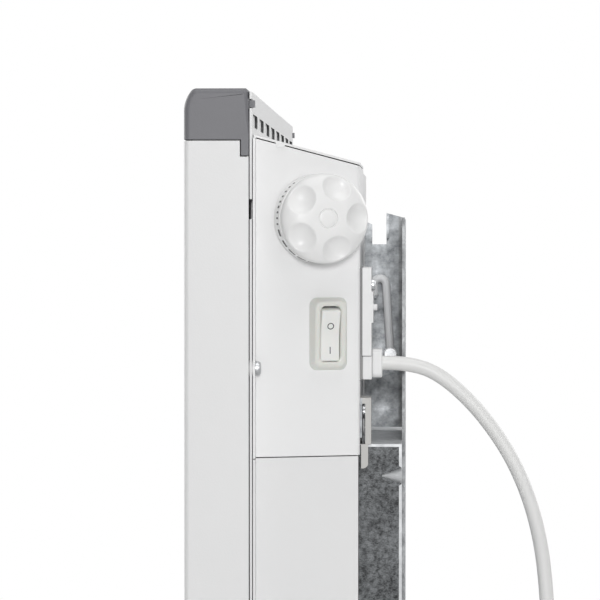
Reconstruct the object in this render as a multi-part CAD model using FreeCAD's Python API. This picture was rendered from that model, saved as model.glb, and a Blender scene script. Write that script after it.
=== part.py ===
import FreeCAD, Part
import math
import os

from FreeCAD import Placement, Rotation, Vector

# Wall-hung panel convector heater, millimetres.
# +X is the control end, +Y points to the wall, +Z is up.
# The origin is the middle of the wall bracket's four screw holes, on the wall.

# Overall sizes
PANEL_WIDTH = 440.0
PANEL_HEIGHT = 450.0
SHEET = 1.0
JOINT_GAP = 0.5

# Front panel
PANEL_DEPTH = 28.9
PANEL_EDGE_R = 2.4
PANEL_LIP = 12.0

# Grey end caps and top grille
CAP_HEIGHT = 22.8
CAP_LENGTH = 24.0
CAP_WALL = 2.2
CAP_REAR_SET_OUT = 0.2
CAP_LEG_DROP = 7.1
CAP_LEG_WIDTH = 3.4
CAP_CHAMFER = 1.5
CAP_CLIP_WIDTH = 4.0
CAP_CLIP_HEIGHT = 3.1
CAP_CLIP_DROP = 5.3
CAP_CLIP_REACH = 2.4
NOSE_DROP = 10.2
NOSE_RUN = 5.6
NOSE_SMALL_R = 3.0
GRILLE_SLOT = 6.0
GRILLE_BAR = 3.4
GRILLE_END = 6.0
GRILLE_SLOT_FRONT = 8.0
GRILLE_SLOT_REAR = 5.0

# Back plate behind the panel
SLIT = 0.4
PLATE_END_GAP = 1.0
PLATE_TOP_DROP = 1.6
VENT_R = 2.9
VENT_LENGTH = 38.0
VENT_DROP = 14.0
VENT_PITCH = 54.6
VENT_END_GAP = 25.0
EDGE_NOTCH_DROP = 49.2
EDGE_NOTCH_HEIGHT = 8.9
EDGE_NOTCH_DEPTH = 12.0
WINDOW_SIDE = 40.0
WINDOW_TOP_DROP = 48.0
WINDOW_BOTTOM_RISE = 20.0
WINDOW_MARGIN = 6.0
BOSS_R = 3.6

# Rear casing
CASE_END_GAP = 9.0
SIDE_TILT = 17.0
TOP_DROP = 20.3
TOP_FALL = 0.26
UPPER_SET_BACK = 3.3
LOWER_DEPTH = 46.4
SHELF_DROP = 165.0
LID_FLANGE = 10.0
WIRE_HOLE_R = 6.0
INLET_SIDE = 30.0
INLET_FRONT = 6.0
INLET_REAR = 6.0
INLET_SLOT = 5.0
INLET_BAR = 4.0

# Control box at the right end
CONTROL_LENGTH = 116.0
CONTROL_DEPTH = 47.1
COVER_BEND_R = 2.0
COVER_TAB_R = 2.3
COVER_TAB_U = 12.3
COVER_TAB_T = 0.7

# Thermostat and its knob, on the slanted side
KNOB_U = 29.0
KNOB_DROP = 57.8
KNOB_R = 20.0
KNOB_LIFT = 0.8
KNOB_SKIRT = 13.2
KNOB_CROWN = 6.2
KNOB_WALL = 2.2
KNOB_HUB_R = 6.0
KNOB_DISC_R = 3.9
KNOB_GROOVE = 0.5
DIMPLE_COUNT = 5
DIMPLE_R = 8.4
DIMPLE_PCD_R = 16.4
DIMPLE_HEIGHT = 23.6
SPINDLE_R = 3.0
SPINDLE_IN = 9.0
SPINDLE_OUT = 13.0
RUN_CLEARANCE = 0.05
BUSH_R = 4.5
BUSH_OUT = 3.0
NUT_FLATS = 12.0
NUT_T = 2.0
THERMOSTAT_W = 28.0
THERMOSTAT_H = 34.0
THERMOSTAT_T = 22.0

# Rocker switch, on the slanted side
SWITCH_U = 34.5
SWITCH_DROP = 109.6
COLLAR_W = 17.6
COLLAR_H = 32.8
COLLAR_T = 4.6
COLLAR_DRAFT = 1.6
COLLAR_CORNER_R = 3.6
ROCKER_W = 8.8
ROCKER_H = 22.6
ROCKER_PROUD = 6.4
ROCKER_DISH = 1.7
ROCKER_REST_TILT = 7.0
ROCKER_GAP = 0.6
ROCKER_PIVOT_DEPTH = 1.0
ROCKER_ROOT = 4.0
PIVOT_R = 1.2
SWITCH_BODY_W = 12.8
SWITCH_BODY_H = 27.0
SWITCH_BODY_T = 19.0
SWITCH_WALL = 1.2

# Mains entry on the rear of the control box
ENTRY_END_GAP = 43.0
ENTRY_TOP_DROP = 80.0
ENTRY_COVER_H = 39.8
ENTRY_COVER_W = 34.0
ENTRY_COVER_T = 4.1
ENTRY_BASE_T = 1.1
ENTRY_BASE_INSET = 1.0
CLAMP_H = 10.8
CLAMP_T = 4.3
GLAND_W = 14.0
GLAND_H = 13.0
GLAND_T = 4.6
GLAND_DROP = 123.7
ENTRY_RIB_H = 14.0
ENTRY_RIB_T = 0.8
ENTRY_NUB_R = 1.4
ENTRY_NUB_T = 1.8
TERMINAL_END_GAP = 80.0
TERMINAL_DROP = 96.0
TERMINAL_W = 36.0
TERMINAL_H = 18.0
TERMINAL_T = 12.0
TERMINAL_COUNT = 3

# Screws and rivets
SCREW_HEAD_R = 3.2
SCREW_HEAD_T = 2.4
HEAD_ROUND = 0.6
SCREW_R = 1.9
SCREW_LENGTH = 8.0
SMALL_HEAD_R = 2.6
SMALL_HEAD_T = 1.8
SMALL_SCREW_R = 1.4
SMALL_SCREW_LENGTH = 3.0
COVER_SCREW_DROP = 124.5
CASING_SCREW_RISES = (210.0, 20.0)
REAR_SCREW_DROP = 150.0
REAR_SCREW_SET_IN = 16.0
RIVET_R = 2.4
RIVET_HEAD_R = 4.0
RIVET_HEAD_T = 1.2

# Heating element
ELEMENT_RISE = 58.0
ELEMENT_END_GAP = 70.0
ELEMENT_TUBE_R = 7.0
ELEMENT_ROD_R = 4.2
ELEMENT_ROD_GAP = 0.08
ELEMENT_ROD_OVERHANG = 24.0
FIN_LENGTH = 16.0
FIN_T = 1.6
FIN_RIB_LENGTH = 5.0
TERMINAL_PIN_R = 1.6
TERMINAL_PIN_LENGTH = 11.0
ELEMENT_BRACKET_OVERHANG = 12.0
ELEMENT_BRACKET_T = 1.2
ELEMENT_BRACKET_H = 30.0
ELEMENT_BRACKET_FOOT = 14.0
SHIELD_T = 0.6
SHIELD_STAND_OFF = 3.0
SHIELD_FOOT = 8.0
SHIELD_HEIGHT = 60.0
SHIELD_END_GAP = 90.0
CUTOUT_X = 60.0
CUTOUT_RISE = 115.0
CUTOUT_R = 8.0
CUTOUT_T = 9.0
CUTOUT_EAR = 24.0
BLADE_W = 4.8
BLADE_LENGTH = 6.0

# Wall bracket
BRACKET_SHEET = 1.2
BRACKET_DEPTH = 19.7
BRACKET_CASE_GAP = 0.5
SCREW_PITCH_Z = 260.0
SCREW_TOP_DROP = 100.0
WALL_HOLE_R = 3.25
UPRIGHT_SET_IN = 6.0
UPRIGHT_STRIP = 68.0
UPRIGHT_TOP_DROP = 54.7
UPRIGHT_TOP_FALL = 2.4
POST_DEPTH = 9.0
NOTCH_WIDTH = 6.9
NOTCH_DEPTH = 16.3
LIP_TOP_DROP = 58.6
LIP_TOP_FALL = 1.6
POST_FLANGE = 5.0
POST_FLANGE_H = 12.4
FRONT_FLANGE = 14.0
RAIL_END_GAP = 30.0
RAIL_TOP_DROP = 160.0
RAIL_BOTTOM_DROP = 390.0
RAIL_GAP = 1.4
LANCE_R = 3.6
LANCE_TIP_R = 0.5
LANCE_LENGTH = 9.0
LANCE_DROP = 174.5
RIVET_DROPS = (200.0, 340.0)

# Hooks and latch between heater and bracket
HOOK_SET_IN = 7.0
HOOK_WIDTH = 18.0
HOOK_TONGUE_WIDTH = 8.0
HOOK_T = 2.6
HOOK_FOOT_T = 1.0
HOOK_EAR_R = 2.4
HOOK_TOP_DROP = 139.0
HOOK_BOTTOM_DROP = 171.0
HOOK_FOOT = 18.0
HOOK_CLEARANCE = 0.3
HOOK_LIP = 1.6
LEVER_ROD_R = 2.0
LEVER_SIDE_GAP = 0.4
LEVER_PIVOT_Y = -7.0
LEVER_PIVOT_DROP = 123.0
LEVER_BEND_DROP = 89.2
LEVER_BEND_R = 3.0
LEVER_LEAN = 2.1
LEVER_FINGER = 4.4
LEVER_EYE_R = 3.4
LEVER_EYE_T = 2.8
LATCH_PIN_R = 1.5
LATCH_PIN_HEAD_R = 2.8
LATCH_PIN_HEAD_T = 1.0
TAB_T = 1.5
TAB_WIDTH = 3.4
TAB_TIP_GAP = 0.6
TAB_FOOT = 12.0

# Mains lead
CORD_R = 3.3
COIL_TURNS = 5
COIL_R = 37.5
COIL_PITCH = 7.4
TAIL_LENGTH = 46.0
TIE_T = 1.2
TIE_HEIGHT = 8.0
TIE_CLEARANCE = 0.6
PLUG_NECK_R = 5.2
PLUG_NECK_LENGTH = 14.0
PLUG_R = 18.0
PLUG_LENGTH = 34.0
PLUG_EDGE_R = 4.0
PLUG_PIN_R = 2.4
PLUG_PIN_PITCH = 19.0
PLUG_PIN_LENGTH = 19.0

# Planes and places that follow from the sizes above
Z_TOP = SCREW_TOP_DROP + SCREW_PITCH_Z / 2.0
Z_BOTTOM = Z_TOP - PANEL_HEIGHT
HALF = PANEL_WIDTH / 2.0
Y_BRACKET_FRONT = -BRACKET_DEPTH
Y_CASE_FRONT = Y_BRACKET_FRONT - BRACKET_CASE_GAP - max(LOWER_DEPTH, CONTROL_DEPTH)
Y_PLATE_REAR = Y_CASE_FRONT - SLIT
Y_PLATE_FRONT = Y_PLATE_REAR - SHEET
Y_PANEL_REAR = Y_PLATE_FRONT - SLIT
Y_FRONT = Y_PANEL_REAR - PANEL_DEPTH
Y_LOWER_REAR = Y_CASE_FRONT + LOWER_DEPTH
Y_CONTROL_REAR = Y_CASE_FRONT + CONTROL_DEPTH
Y_UPPER_REAR = Y_CONTROL_REAR - UPPER_SET_BACK
Y_CAP_REAR = Y_PANEL_REAR + CAP_REAR_SET_OUT
CASE_HALF = HALF - CASE_END_GAP
FLANGE_X = HALF - PLATE_END_GAP
FLANGE_SCREW_X = (CASE_HALF + FLANGE_X) / 2.0
CONTROL_LEFT_X = HALF - CONTROL_LENGTH
TILT = math.radians(SIDE_TILT)
Y_ENTRY_BASE = Y_CONTROL_REAR + ENTRY_BASE_T
Y_GLAND_END = Y_ENTRY_BASE + CLAMP_T + GLAND_T
ELEMENT_Y = Y_CASE_FRONT + LOWER_DEPTH / 2.0
ELEMENT_Z = Z_BOTTOM + ELEMENT_RISE
ELEMENT_HALF = HALF - ELEMENT_END_GAP
UPRIGHT_X = CONTROL_LEFT_X - UPRIGHT_SET_IN
UPRIGHT_OUTER_X = UPRIGHT_X + UPRIGHT_STRIP
WALL_HOLE_X = UPRIGHT_X + UPRIGHT_STRIP / 2.0
RAIL_HALF = HALF - RAIL_END_GAP
HOOK_X = RAIL_HALF - HOOK_SET_IN
LEVER_X = UPRIGHT_X + BRACKET_SHEET + LEVER_SIDE_GAP + LEVER_ROD_R
ENTRY_X = HALF - ENTRY_END_GAP
TERMINAL_X = HALF - TERMINAL_END_GAP
REAR_SCREW_X = CONTROL_LEFT_X + REAR_SCREW_SET_IN
VENT_COUNT = int((PANEL_WIDTH - 2.0 * VENT_END_GAP) // VENT_PITCH) + 1

# Route of the hanging lead: distance from the wall and drop below the heater's top
CORD_ROUTE = (
    (3.7, 123.7),
    (19.0, 130.6),
    (37.0, 148.4),
    (52.5, 172.6),
    (62.5, 203.0),
    (66.0, 240.0),
    (66.0, 276.0),
)


def drop(distance):
    """Height of a point that lies the given distance below the heater's top."""
    return Z_TOP - distance


def box(x0, x1, y0, y1, z0, z1):
    """Box between two corners, whichever way round each pair is given."""
    low = Vector(min(x0, x1), min(y0, y1), min(z0, z1))
    return Part.makeBox(abs(x1 - x0), abs(y1 - y0), abs(z1 - z0), low)


def prism_x(outline, x0, x1):
    """Solid between two X planes with the given outline of (y, z) points."""
    points = [Vector(x0, y, z) for y, z in outline]
    face = Part.Face(Part.makePolygon(points + points[:1]))
    return face.extrude(Vector(x1 - x0, 0, 0))


def prism_z(outline, z0, z1):
    """Solid between two Z planes with the given outline of (x, y) points."""
    points = [Vector(x, y, z0) for x, y in outline]
    face = Part.Face(Part.makePolygon(points + points[:1]))
    return face.extrude(Vector(0, 0, z1 - z0))


def rod(start, end, radius):
    """Round bar between two points."""
    axis = end - start
    return Part.makeCylinder(radius, axis.Length, start, axis)


def fused(shapes):
    """One solid from several that share faces or volume."""
    shape = shapes[0]
    for other in shapes[1:]:
        shape = shape.fuse(other)
    return shape.removeSplitter()


def mirrored(shape):
    """The same piece for the other end of the heater."""
    return shape.mirror(Vector(0, 0, 0), Vector(1, 0, 0))


def vertical_edges_at(shape, x, y):
    """Edges of a shape that stand upright at one place in plan."""
    found = []
    for edge in shape.Edges:
        ends = [vertex.Point for vertex in edge.Vertexes]
        if len(ends) == 2 and all(abs(p.x - x) < 0.01 and abs(p.y - y) < 0.01 for p in ends):
            found.append(edge)
    return found


def edges_along_x(shape, y, z):
    """Edges of a shape that run along X at one place in the end view."""
    found = []
    for edge in shape.Edges:
        ends = [vertex.Point for vertex in edge.Vertexes]
        if len(ends) == 2 and all(abs(p.y - y) < 0.01 and abs(p.z - z) < 0.01 for p in ends):
            found.append(edge)
    return found


def on_side(shape):
    """Place a shape drawn on the slanted side: x along it to the wall, y up, z outwards."""
    along = Vector(-math.sin(TILT), math.cos(TILT), 0)
    outwards = Vector(math.cos(TILT), math.sin(TILT), 0)
    turn = Rotation(along, Vector(0, 0, 1), outwards, "ZXY")
    placed = shape.copy()
    side = Placement(Vector(CASE_HALF, Y_CASE_FRONT, Z_TOP), turn)
    placed.Placement = side.multiply(shape.Placement)
    return placed


def rounded_rectangle(width, height, radius, cx, cy, z):
    """Wire of a rectangle with round corners, centred in a plane of constant z."""
    a = width / 2.0
    b = height / 2.0
    d = radius * (1.0 - math.sqrt(0.5))
    edges = []
    corners = ((1, 1), (-1, 1), (-1, -1), (1, -1))
    for index, (sx, sy) in enumerate(corners):
        first = Vector(cx + sx * a, cy + sy * (b - radius), z)
        middle = Vector(cx + sx * (a - d), cy + sy * (b - d), z)
        last = Vector(cx + sx * (a - radius), cy + sy * b, z)
        if index % 2 == 1:
            first, last = last, first
        edges.append(Part.Arc(first, middle, last).toShape())
    lines = []
    for index, edge in enumerate(edges):
        following = edges[(index + 1) % len(edges)]
        lines.append(Part.LineSegment(edge.Vertexes[-1].Point, following.Vertexes[0].Point).toShape())
    ring = []
    for edge, line in zip(edges, lines):
        ring += [edge, line]
    return Part.Wire(ring)


def screw(seat, outwards, head_r, head_t, shank_r, length):
    """Pan-head screw whose head sits on a point of a face."""
    head = Part.makeCylinder(head_r, head_t, seat, outwards)
    circles = [edge for edge in head.Edges if len(edge.Vertexes) == 1]
    outer_rim = max(circles, key=lambda edge: edge.CenterOfMass.distanceToPoint(seat))
    head = head.makeFillet(head_t * HEAD_ROUND, [outer_rim])
    shank = Part.makeCylinder(shank_r, length, seat, outwards.negative())
    return head.fuse(shank).removeSplitter()


# Front panel

def front_panel():
    top = drop(CAP_HEIGHT + JOINT_GAP)
    outer = box(-HALF, HALF, Y_FRONT, Y_PANEL_REAR, Z_BOTTOM, top)
    inner = box(-HALF + SHEET, HALF - SHEET, Y_FRONT + SHEET, Y_PANEL_REAR + SHEET,
                Z_BOTTOM + SHEET, top + SHEET)
    corners = vertical_edges_at(outer, -HALF, Y_FRONT) + vertical_edges_at(outer, HALF, Y_FRONT)
    outer = outer.makeFillet(PANEL_EDGE_R, corners)
    corners = vertical_edges_at(inner, -HALF + SHEET, Y_FRONT + SHEET)
    corners += vertical_edges_at(inner, HALF - SHEET, Y_FRONT + SHEET)
    inner = inner.makeFillet(PANEL_EDGE_R - SHEET, corners)
    lips = []
    for side in (-1, 1):
        lips.append(box(side * HALF, side * (HALF - PANEL_LIP), Y_PANEL_REAR - SHEET, Y_PANEL_REAR,
                        Z_BOTTOM, top))
    lips.append(box(-HALF, HALF, Y_PANEL_REAR - SHEET, Y_PANEL_REAR, Z_BOTTOM, Z_BOTTOM + PANEL_LIP))
    panel = fused([outer.cut(inner)] + lips).cut(flange_screw_holes())
    for side in (-1, 1):
        leg_room = box(
            side * (HALF - CAP_WALL - JOINT_GAP), side * (HALF + SHEET),
            cap_leg_front() - JOINT_GAP, Y_PANEL_REAR + SHEET,
            drop(CAP_HEIGHT + CAP_LEG_DROP + JOINT_GAP), top + SHEET)
        panel = panel.cut(leg_room)
    return panel


# Grey caps and grille

def cap_leg_front():
    """Front of the cap's leg, which reaches down behind the panel's end."""
    return Y_PANEL_REAR - CAP_LEG_WIDTH


def cap_section(inset, x0, x1):
    """Solid with the cap's section, drawn in by the given amount and open below if drawn in."""
    a = NOSE_DROP
    b = NOSE_RUN
    small = NOSE_SMALL_R
    large = (b * b + (a - small) ** 2 - small * small) / (2.0 * (b - small))
    centre_large = (Y_FRONT + large, Z_TOP - a)
    centre_small = (Y_FRONT + b, Z_TOP - small)
    join = math.atan2(centre_small[1] - centre_large[1], centre_small[0] - centre_large[0])

    def on_arc(centre, radius, angle):
        return Vector(x0, centre[0] + radius * math.cos(angle), centre[1] + radius * math.sin(angle))

    bottom = drop(CAP_HEIGHT) - inset
    start = on_arc(centre_large, large - inset, math.pi)
    blend = on_arc(centre_large, large - inset, join)
    crest = on_arc(centre_small, small - inset, math.pi / 2.0)
    middle_large = on_arc(centre_large, large - inset, (math.pi + join) / 2.0)
    middle_small = on_arc(centre_small, small - inset, (join + math.pi / 2.0) / 2.0)
    rear = Y_CAP_REAR - inset
    chamfer = CAP_CHAMFER if inset == 0 else 0.0
    corners = [crest, Vector(x0, rear - chamfer, Z_TOP - inset)]
    if chamfer:
        corners.append(Vector(x0, rear, Z_TOP - chamfer))
    corners += [Vector(x0, rear, bottom), Vector(x0, Y_FRONT + inset, bottom), start]
    edges = [Part.Arc(start, middle_large, blend).toShape(), Part.Arc(blend, middle_small, crest).toShape()]
    for first, last in zip(corners, corners[1:]):
        edges.append(Part.LineSegment(first, last).toShape())
    return Part.Face(Part.Wire(edges)).extrude(Vector(x1 - x0, 0, 0))


def end_cap():
    inner_x = HALF - CAP_LENGTH
    shell = cap_section(0, inner_x, HALF).cut(cap_section(CAP_WALL, inner_x - CAP_WALL, HALF - CAP_WALL))
    leg = box(HALF - CAP_WALL, HALF, cap_leg_front(), Y_PANEL_REAR,
              drop(CAP_HEIGHT + CAP_LEG_DROP), drop(CAP_HEIGHT - CAP_WALL))
    clip_top = drop(CAP_CLIP_DROP)
    clip = box(cap_clip_x(), cap_clip_x() + CAP_CLIP_WIDTH, Y_CAP_REAR - CAP_WALL,
               Y_CAP_REAR + CAP_CLIP_REACH, clip_top - CAP_CLIP_HEIGHT, clip_top)
    return fused([shell, leg, clip])


def cap_clip_x():
    """Inner edge of the clip that holds an end cap on the back plate."""
    return HALF - PLATE_END_GAP - CAP_CLIP_WIDTH - CAP_WALL


def top_grille():
    end = HALF - CAP_LENGTH
    shell = cap_section(0, -end, end).cut(cap_section(CAP_WALL, -end - CAP_WALL, end + CAP_WALL))
    pitch = GRILLE_SLOT + GRILLE_BAR
    room = 2.0 * (end - GRILLE_END) + GRILLE_BAR
    count = int(room // pitch)
    first = -(count * pitch - GRILLE_BAR) / 2.0
    slots = []
    for index in range(count):
        x = first + index * pitch
        slots.append(box(x, x + GRILLE_SLOT, Y_FRONT + GRILLE_SLOT_FRONT, Y_CAP_REAR - GRILLE_SLOT_REAR,
                         drop(2.0 * CAP_WALL), Z_TOP + CAP_WALL))
    return shell.cut(Part.makeCompound(slots))


# Back plate

def vent_slot(x):
    """Cutter of one long round-ended vent in the back plate."""
    reach = VENT_LENGTH / 2.0 - VENT_R
    front = Y_PLATE_FRONT - SHEET
    rear = Y_PLATE_REAR + SHEET
    z = drop(VENT_DROP)
    ends = [rod(Vector(x + side * reach, front, z), Vector(x + side * reach, rear, z), VENT_R) for side in (-1, 1)]
    return fused(ends + [box(x - reach, x + reach, front, rear, z - VENT_R, z + VENT_R)])


def back_plate():
    """Plate with a row of vents and a window for the warm air, closed behind the control box."""
    half = HALF - PLATE_END_GAP
    plate = box(-half, half, Y_PLATE_FRONT, Y_PLATE_REAR, Z_BOTTOM, drop(PLATE_TOP_DROP))
    side_x0 = -HALF + WINDOW_SIDE
    sill = drop(SHELF_DROP + WINDOW_MARGIN)
    lower = box(side_x0, -side_x0, Y_PLATE_FRONT - SHEET, Y_PLATE_REAR + SHEET,
                Z_BOTTOM + WINDOW_BOTTOM_RISE, sill)
    upper = box(side_x0, CONTROL_LEFT_X - WINDOW_MARGIN, Y_PLATE_FRONT - SHEET, Y_PLATE_REAR + SHEET,
                sill, drop(WINDOW_TOP_DROP))
    plate = plate.cut(lower.fuse(upper))
    holes = []
    for index in range(VENT_COUNT):
        holes.append(vent_slot((index - (VENT_COUNT - 1) / 2.0) * VENT_PITCH))
    for side in (-1, 1):
        holes.append(box(side * (HALF - EDGE_NOTCH_DEPTH), side * (HALF + SHEET),
                         Y_PLATE_FRONT - SHEET, Y_PLATE_REAR + SHEET,
                         drop(EDGE_NOTCH_DROP + EDGE_NOTCH_HEIGHT), drop(EDGE_NOTCH_DROP)))
        holes.append(box(side * (cap_clip_x() - JOINT_GAP), side * (HALF + SHEET),
                         Y_PLATE_FRONT - SHEET, Y_PLATE_REAR + SHEET,
                         drop(CAP_CLIP_DROP + CAP_CLIP_HEIGHT + JOINT_GAP), drop(CAP_CLIP_DROP - JOINT_GAP)))
    plate = plate.cut(Part.makeCompound(holes))
    bosses = []
    for x, z in flange_screw_places():
        start = Vector(x, Y_PANEL_REAR, z)
        bosses.append(rod(start, Vector(x, Y_CASE_FRONT, z), BOSS_R))
    return fused([plate] + bosses).cut(flange_screw_holes())


# Rear casing

def side_x(y, inset):
    """X of the slanted end face at a distance from the wall, drawn in by an amount."""
    return CASE_HALF - inset / math.cos(TILT) - (y - Y_CASE_FRONT) * math.tan(TILT)


def top_z(y, inset):
    """Height of the sloping top of casing and control box, drawn in by an amount."""
    return drop(TOP_DROP) - (y - Y_CASE_FRONT) * TOP_FALL - inset * math.hypot(1.0, TOP_FALL)


def flange_screw_places():
    """X and Z of the screws that hold casing, control cover and back plate to the panel's lips."""
    heights = [drop(COVER_SCREW_DROP)] + [Z_BOTTOM + rise for rise in CASING_SCREW_RISES]
    return [(side * FLANGE_SCREW_X, z) for side in (-1, 1) for z in heights]


def flange_screw_holes():
    """Holes for those screws through every sheet at the panel's rear edge."""
    holes = []
    for x, z in flange_screw_places():
        start = Vector(x, Y_PANEL_REAR - 2.0 * SHEET, z)
        holes.append(rod(start, Vector(x, Y_CASE_FRONT + 2.0 * SHEET, z), SCREW_R + RUN_CLEARANCE))
    return Part.makeCompound(holes)


def casing_volume(inset, front):
    """Outside shape of the rear casing from a front plane, drawn in by the given amount."""
    plan = [(-side_x(front, inset), front), (side_x(front, inset), front),
            (side_x(Y_LOWER_REAR, inset), Y_LOWER_REAR), (-side_x(Y_LOWER_REAR, inset), Y_LOWER_REAR)]
    upper = Y_UPPER_REAR - inset
    lower = Y_LOWER_REAR - inset
    shelf = drop(SHELF_DROP) - inset
    floor = Z_BOTTOM + inset
    section = [(front, top_z(front, inset)), (upper, top_z(upper, inset)), (upper, shelf),
               (lower, shelf), (lower, floor), (front, floor)]
    solid = prism_z(plan, Z_BOTTOM, Z_TOP).common(prism_x(section, -HALF, HALF))
    control_zone = box(CONTROL_LEFT_X - JOINT_GAP - inset, HALF, front - SHEET, Y_CONTROL_REAR + SHEET,
                       shelf, Z_TOP)
    return solid.cut(control_zone)


def rear_casing():
    """Folded tray with sloping top, slanted ends and flanges on the back plate."""
    tray = casing_volume(0, Y_CASE_FRONT).cut(casing_volume(SHEET, Y_CASE_FRONT - SHEET))
    inner_x = CASE_HALF - SHEET
    left = box(-FLANGE_X, -inner_x, Y_CASE_FRONT, Y_CASE_FRONT + SHEET, Z_BOTTOM, drop(TOP_DROP + SHEET))
    right = box(inner_x, FLANGE_X, Y_CASE_FRONT, Y_CASE_FRONT + SHEET, Z_BOTTOM, drop(SHELF_DROP))
    wall_x = CONTROL_LEFT_X - JOINT_GAP
    inlet = box(-HALF + INLET_SIDE, HALF - INLET_SIDE, Y_CASE_FRONT + INLET_FRONT + INLET_BAR,
                Y_LOWER_REAR - INLET_REAR - INLET_BAR, Z_BOTTOM - SHEET, Z_BOTTOM + SHEET)
    hole_start = Vector(wall_x - 2.0 * SHEET, (Y_CASE_FRONT + Y_UPPER_REAR) / 2.0, wire_hole_z())
    wire_hole = rod(hole_start, hole_start + Vector(4.0 * SHEET, 0, 0), WIRE_HOLE_R)
    return fused([tray, left, right]).cut(Part.makeCompound([inlet, wire_hole, flange_screw_holes()]))


def wire_hole_z():
    """Height of the hole for the wires in the casing's wall beside the control box."""
    return drop(SHELF_DROP - 2.5 * WIRE_HOLE_R)


def wire_grommet():
    """Rubber ring where the wires pass from the control box into the casing."""
    wall_x = CONTROL_LEFT_X - JOINT_GAP
    y = (Y_CASE_FRONT + Y_UPPER_REAR) / 2.0
    z = wire_hole_z()
    flange = WIRE_HOLE_R + 2.0
    inside = rod(Vector(wall_x - 2.5 * SHEET, y, z), Vector(wall_x - SHEET, y, z), flange)
    outside = rod(Vector(wall_x, y, z), Vector(wall_x + 1.5 * SHEET, y, z), flange)
    neck = rod(Vector(wall_x - SHEET, y, z), Vector(wall_x, y, z), WIRE_HOLE_R - RUN_CLEARANCE)
    bore = rod(Vector(wall_x - 3.0 * SHEET, y, z), Vector(wall_x + 2.0 * SHEET, y, z), WIRE_HOLE_R - 2.0)
    return fused([inside, neck, outside]).cut(bore)


def inlet_grille():
    floor = Z_BOTTOM + SHEET
    y0 = Y_CASE_FRONT + INLET_FRONT
    y1 = Y_LOWER_REAR - INLET_REAR
    half = HALF - INLET_SIDE + INLET_BAR
    plate = box(-half, half, y0, y1, floor, floor + SHEET)
    pitch = INLET_SLOT + INLET_BAR
    count = int((2.0 * (HALF - INLET_SIDE) + INLET_BAR) // pitch)
    first = -(count * pitch - INLET_BAR) / 2.0
    slots = []
    for index in range(count):
        x = first + index * pitch
        slots.append(box(x, x + INLET_SLOT, y0 + INLET_BAR, y1 - INLET_BAR,
                         floor - SHEET, floor + 2.0 * SHEET))
    return plate.cut(Part.makeCompound(slots))


# Control box

def control_cover():
    """Slanted side, rear and floor of the control box, bent from one sheet."""
    bottom = drop(SHELF_DROP - JOINT_GAP)
    outer = [(side_x(Y_CASE_FRONT, 0), Y_CASE_FRONT), (side_x(Y_CONTROL_REAR, 0), Y_CONTROL_REAR),
             (CONTROL_LEFT_X, Y_CONTROL_REAR), (CONTROL_LEFT_X, Y_CASE_FRONT)]
    rear_in = Y_CONTROL_REAR - SHEET
    inner = [(side_x(Y_CASE_FRONT - SHEET, SHEET), Y_CASE_FRONT - SHEET), (side_x(rear_in, SHEET), rear_in),
             (CONTROL_LEFT_X - SHEET, rear_in), (CONTROL_LEFT_X - SHEET, Y_CASE_FRONT - SHEET)]
    block = prism_z(outer, bottom, Z_TOP)
    block = block.makeFillet(COVER_BEND_R, vertical_edges_at(block, *outer[1]))
    hollow = prism_z(inner, bottom + SHEET, Z_TOP + SHEET)
    hollow = hollow.makeFillet(COVER_BEND_R - SHEET, vertical_edges_at(hollow, *inner[1]))
    lid_gap = SHEET + JOINT_GAP
    above = prism_x([(Y_CASE_FRONT - SHEET, top_z(Y_CASE_FRONT - SHEET, lid_gap)),
                     (Y_CONTROL_REAR + SHEET, top_z(Y_CONTROL_REAR + SHEET, lid_gap)),
                     (Y_CONTROL_REAR + SHEET, Z_TOP + 2.0 * SHEET),
                     (Y_CASE_FRONT - SHEET, Z_TOP + 2.0 * SHEET)],
                    CONTROL_LEFT_X - SHEET, HALF)
    flange = box(side_x(Y_CASE_FRONT, SHEET), FLANGE_X, Y_CASE_FRONT, Y_CASE_FRONT + SHEET, bottom, Z_TOP)
    cover = fused([block.cut(hollow), flange]).cut(above)
    hole_depth = 4.0 * SHEET
    shaft_hole = on_side(Part.makeCylinder(BUSH_R + RUN_CLEARANCE, hole_depth,
                                           Vector(KNOB_U, -KNOB_DROP, -hole_depth / 2.0)))
    switch_hole = on_side(box(SWITCH_U - SWITCH_BODY_W / 2.0 - RUN_CLEARANCE,
                              SWITCH_U + SWITCH_BODY_W / 2.0 + RUN_CLEARANCE,
                              -SWITCH_DROP - SWITCH_BODY_H / 2.0 - RUN_CLEARANCE,
                              -SWITCH_DROP + SWITCH_BODY_H / 2.0 + RUN_CLEARANCE,
                              -hole_depth / 2.0, hole_depth / 2.0))
    cord_hole = rod(Vector(ENTRY_X, Y_CONTROL_REAR - hole_depth, drop(GLAND_DROP)),
                    Vector(ENTRY_X, Y_CONTROL_REAR + hole_depth, drop(GLAND_DROP)), CORD_R + JOINT_GAP)
    seat = rear_screw_seat()
    reach = Vector(0, hole_depth, 0)
    rear_hole = rod(seat - reach, seat + reach, SCREW_R + RUN_CLEARANCE)
    return cover.cut(Part.makeCompound([shaft_hole, switch_hole, cord_hole, rear_hole, flange_screw_holes()]))


def rear_screw_seat():
    """Seat of the screw in the control cover's rear face."""
    return Vector(REAR_SCREW_X, Y_CONTROL_REAR, drop(REAR_SCREW_DROP))


def to_wall_screw(seat):
    """Standard screw with its head towards the wall."""
    return screw(seat, Vector(0, 1, 0), SCREW_HEAD_R, SCREW_HEAD_T, SCREW_R, SCREW_LENGTH)


def flange_screws(of_cover):
    """Screws in the flanges: the one of the control cover, or all the others."""
    screws = []
    for x, z in flange_screw_places():
        if (x > 0 and z > drop(SHELF_DROP)) == of_cover:
            screws.append(to_wall_screw(Vector(x, Y_CASE_FRONT + SHEET, z)))
    return screws


def cover_screws():
    return Part.makeCompound(flange_screws(True) + [to_wall_screw(rear_screw_seat())])


def casing_screws():
    return Part.makeCompound(flange_screws(False))


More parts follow.
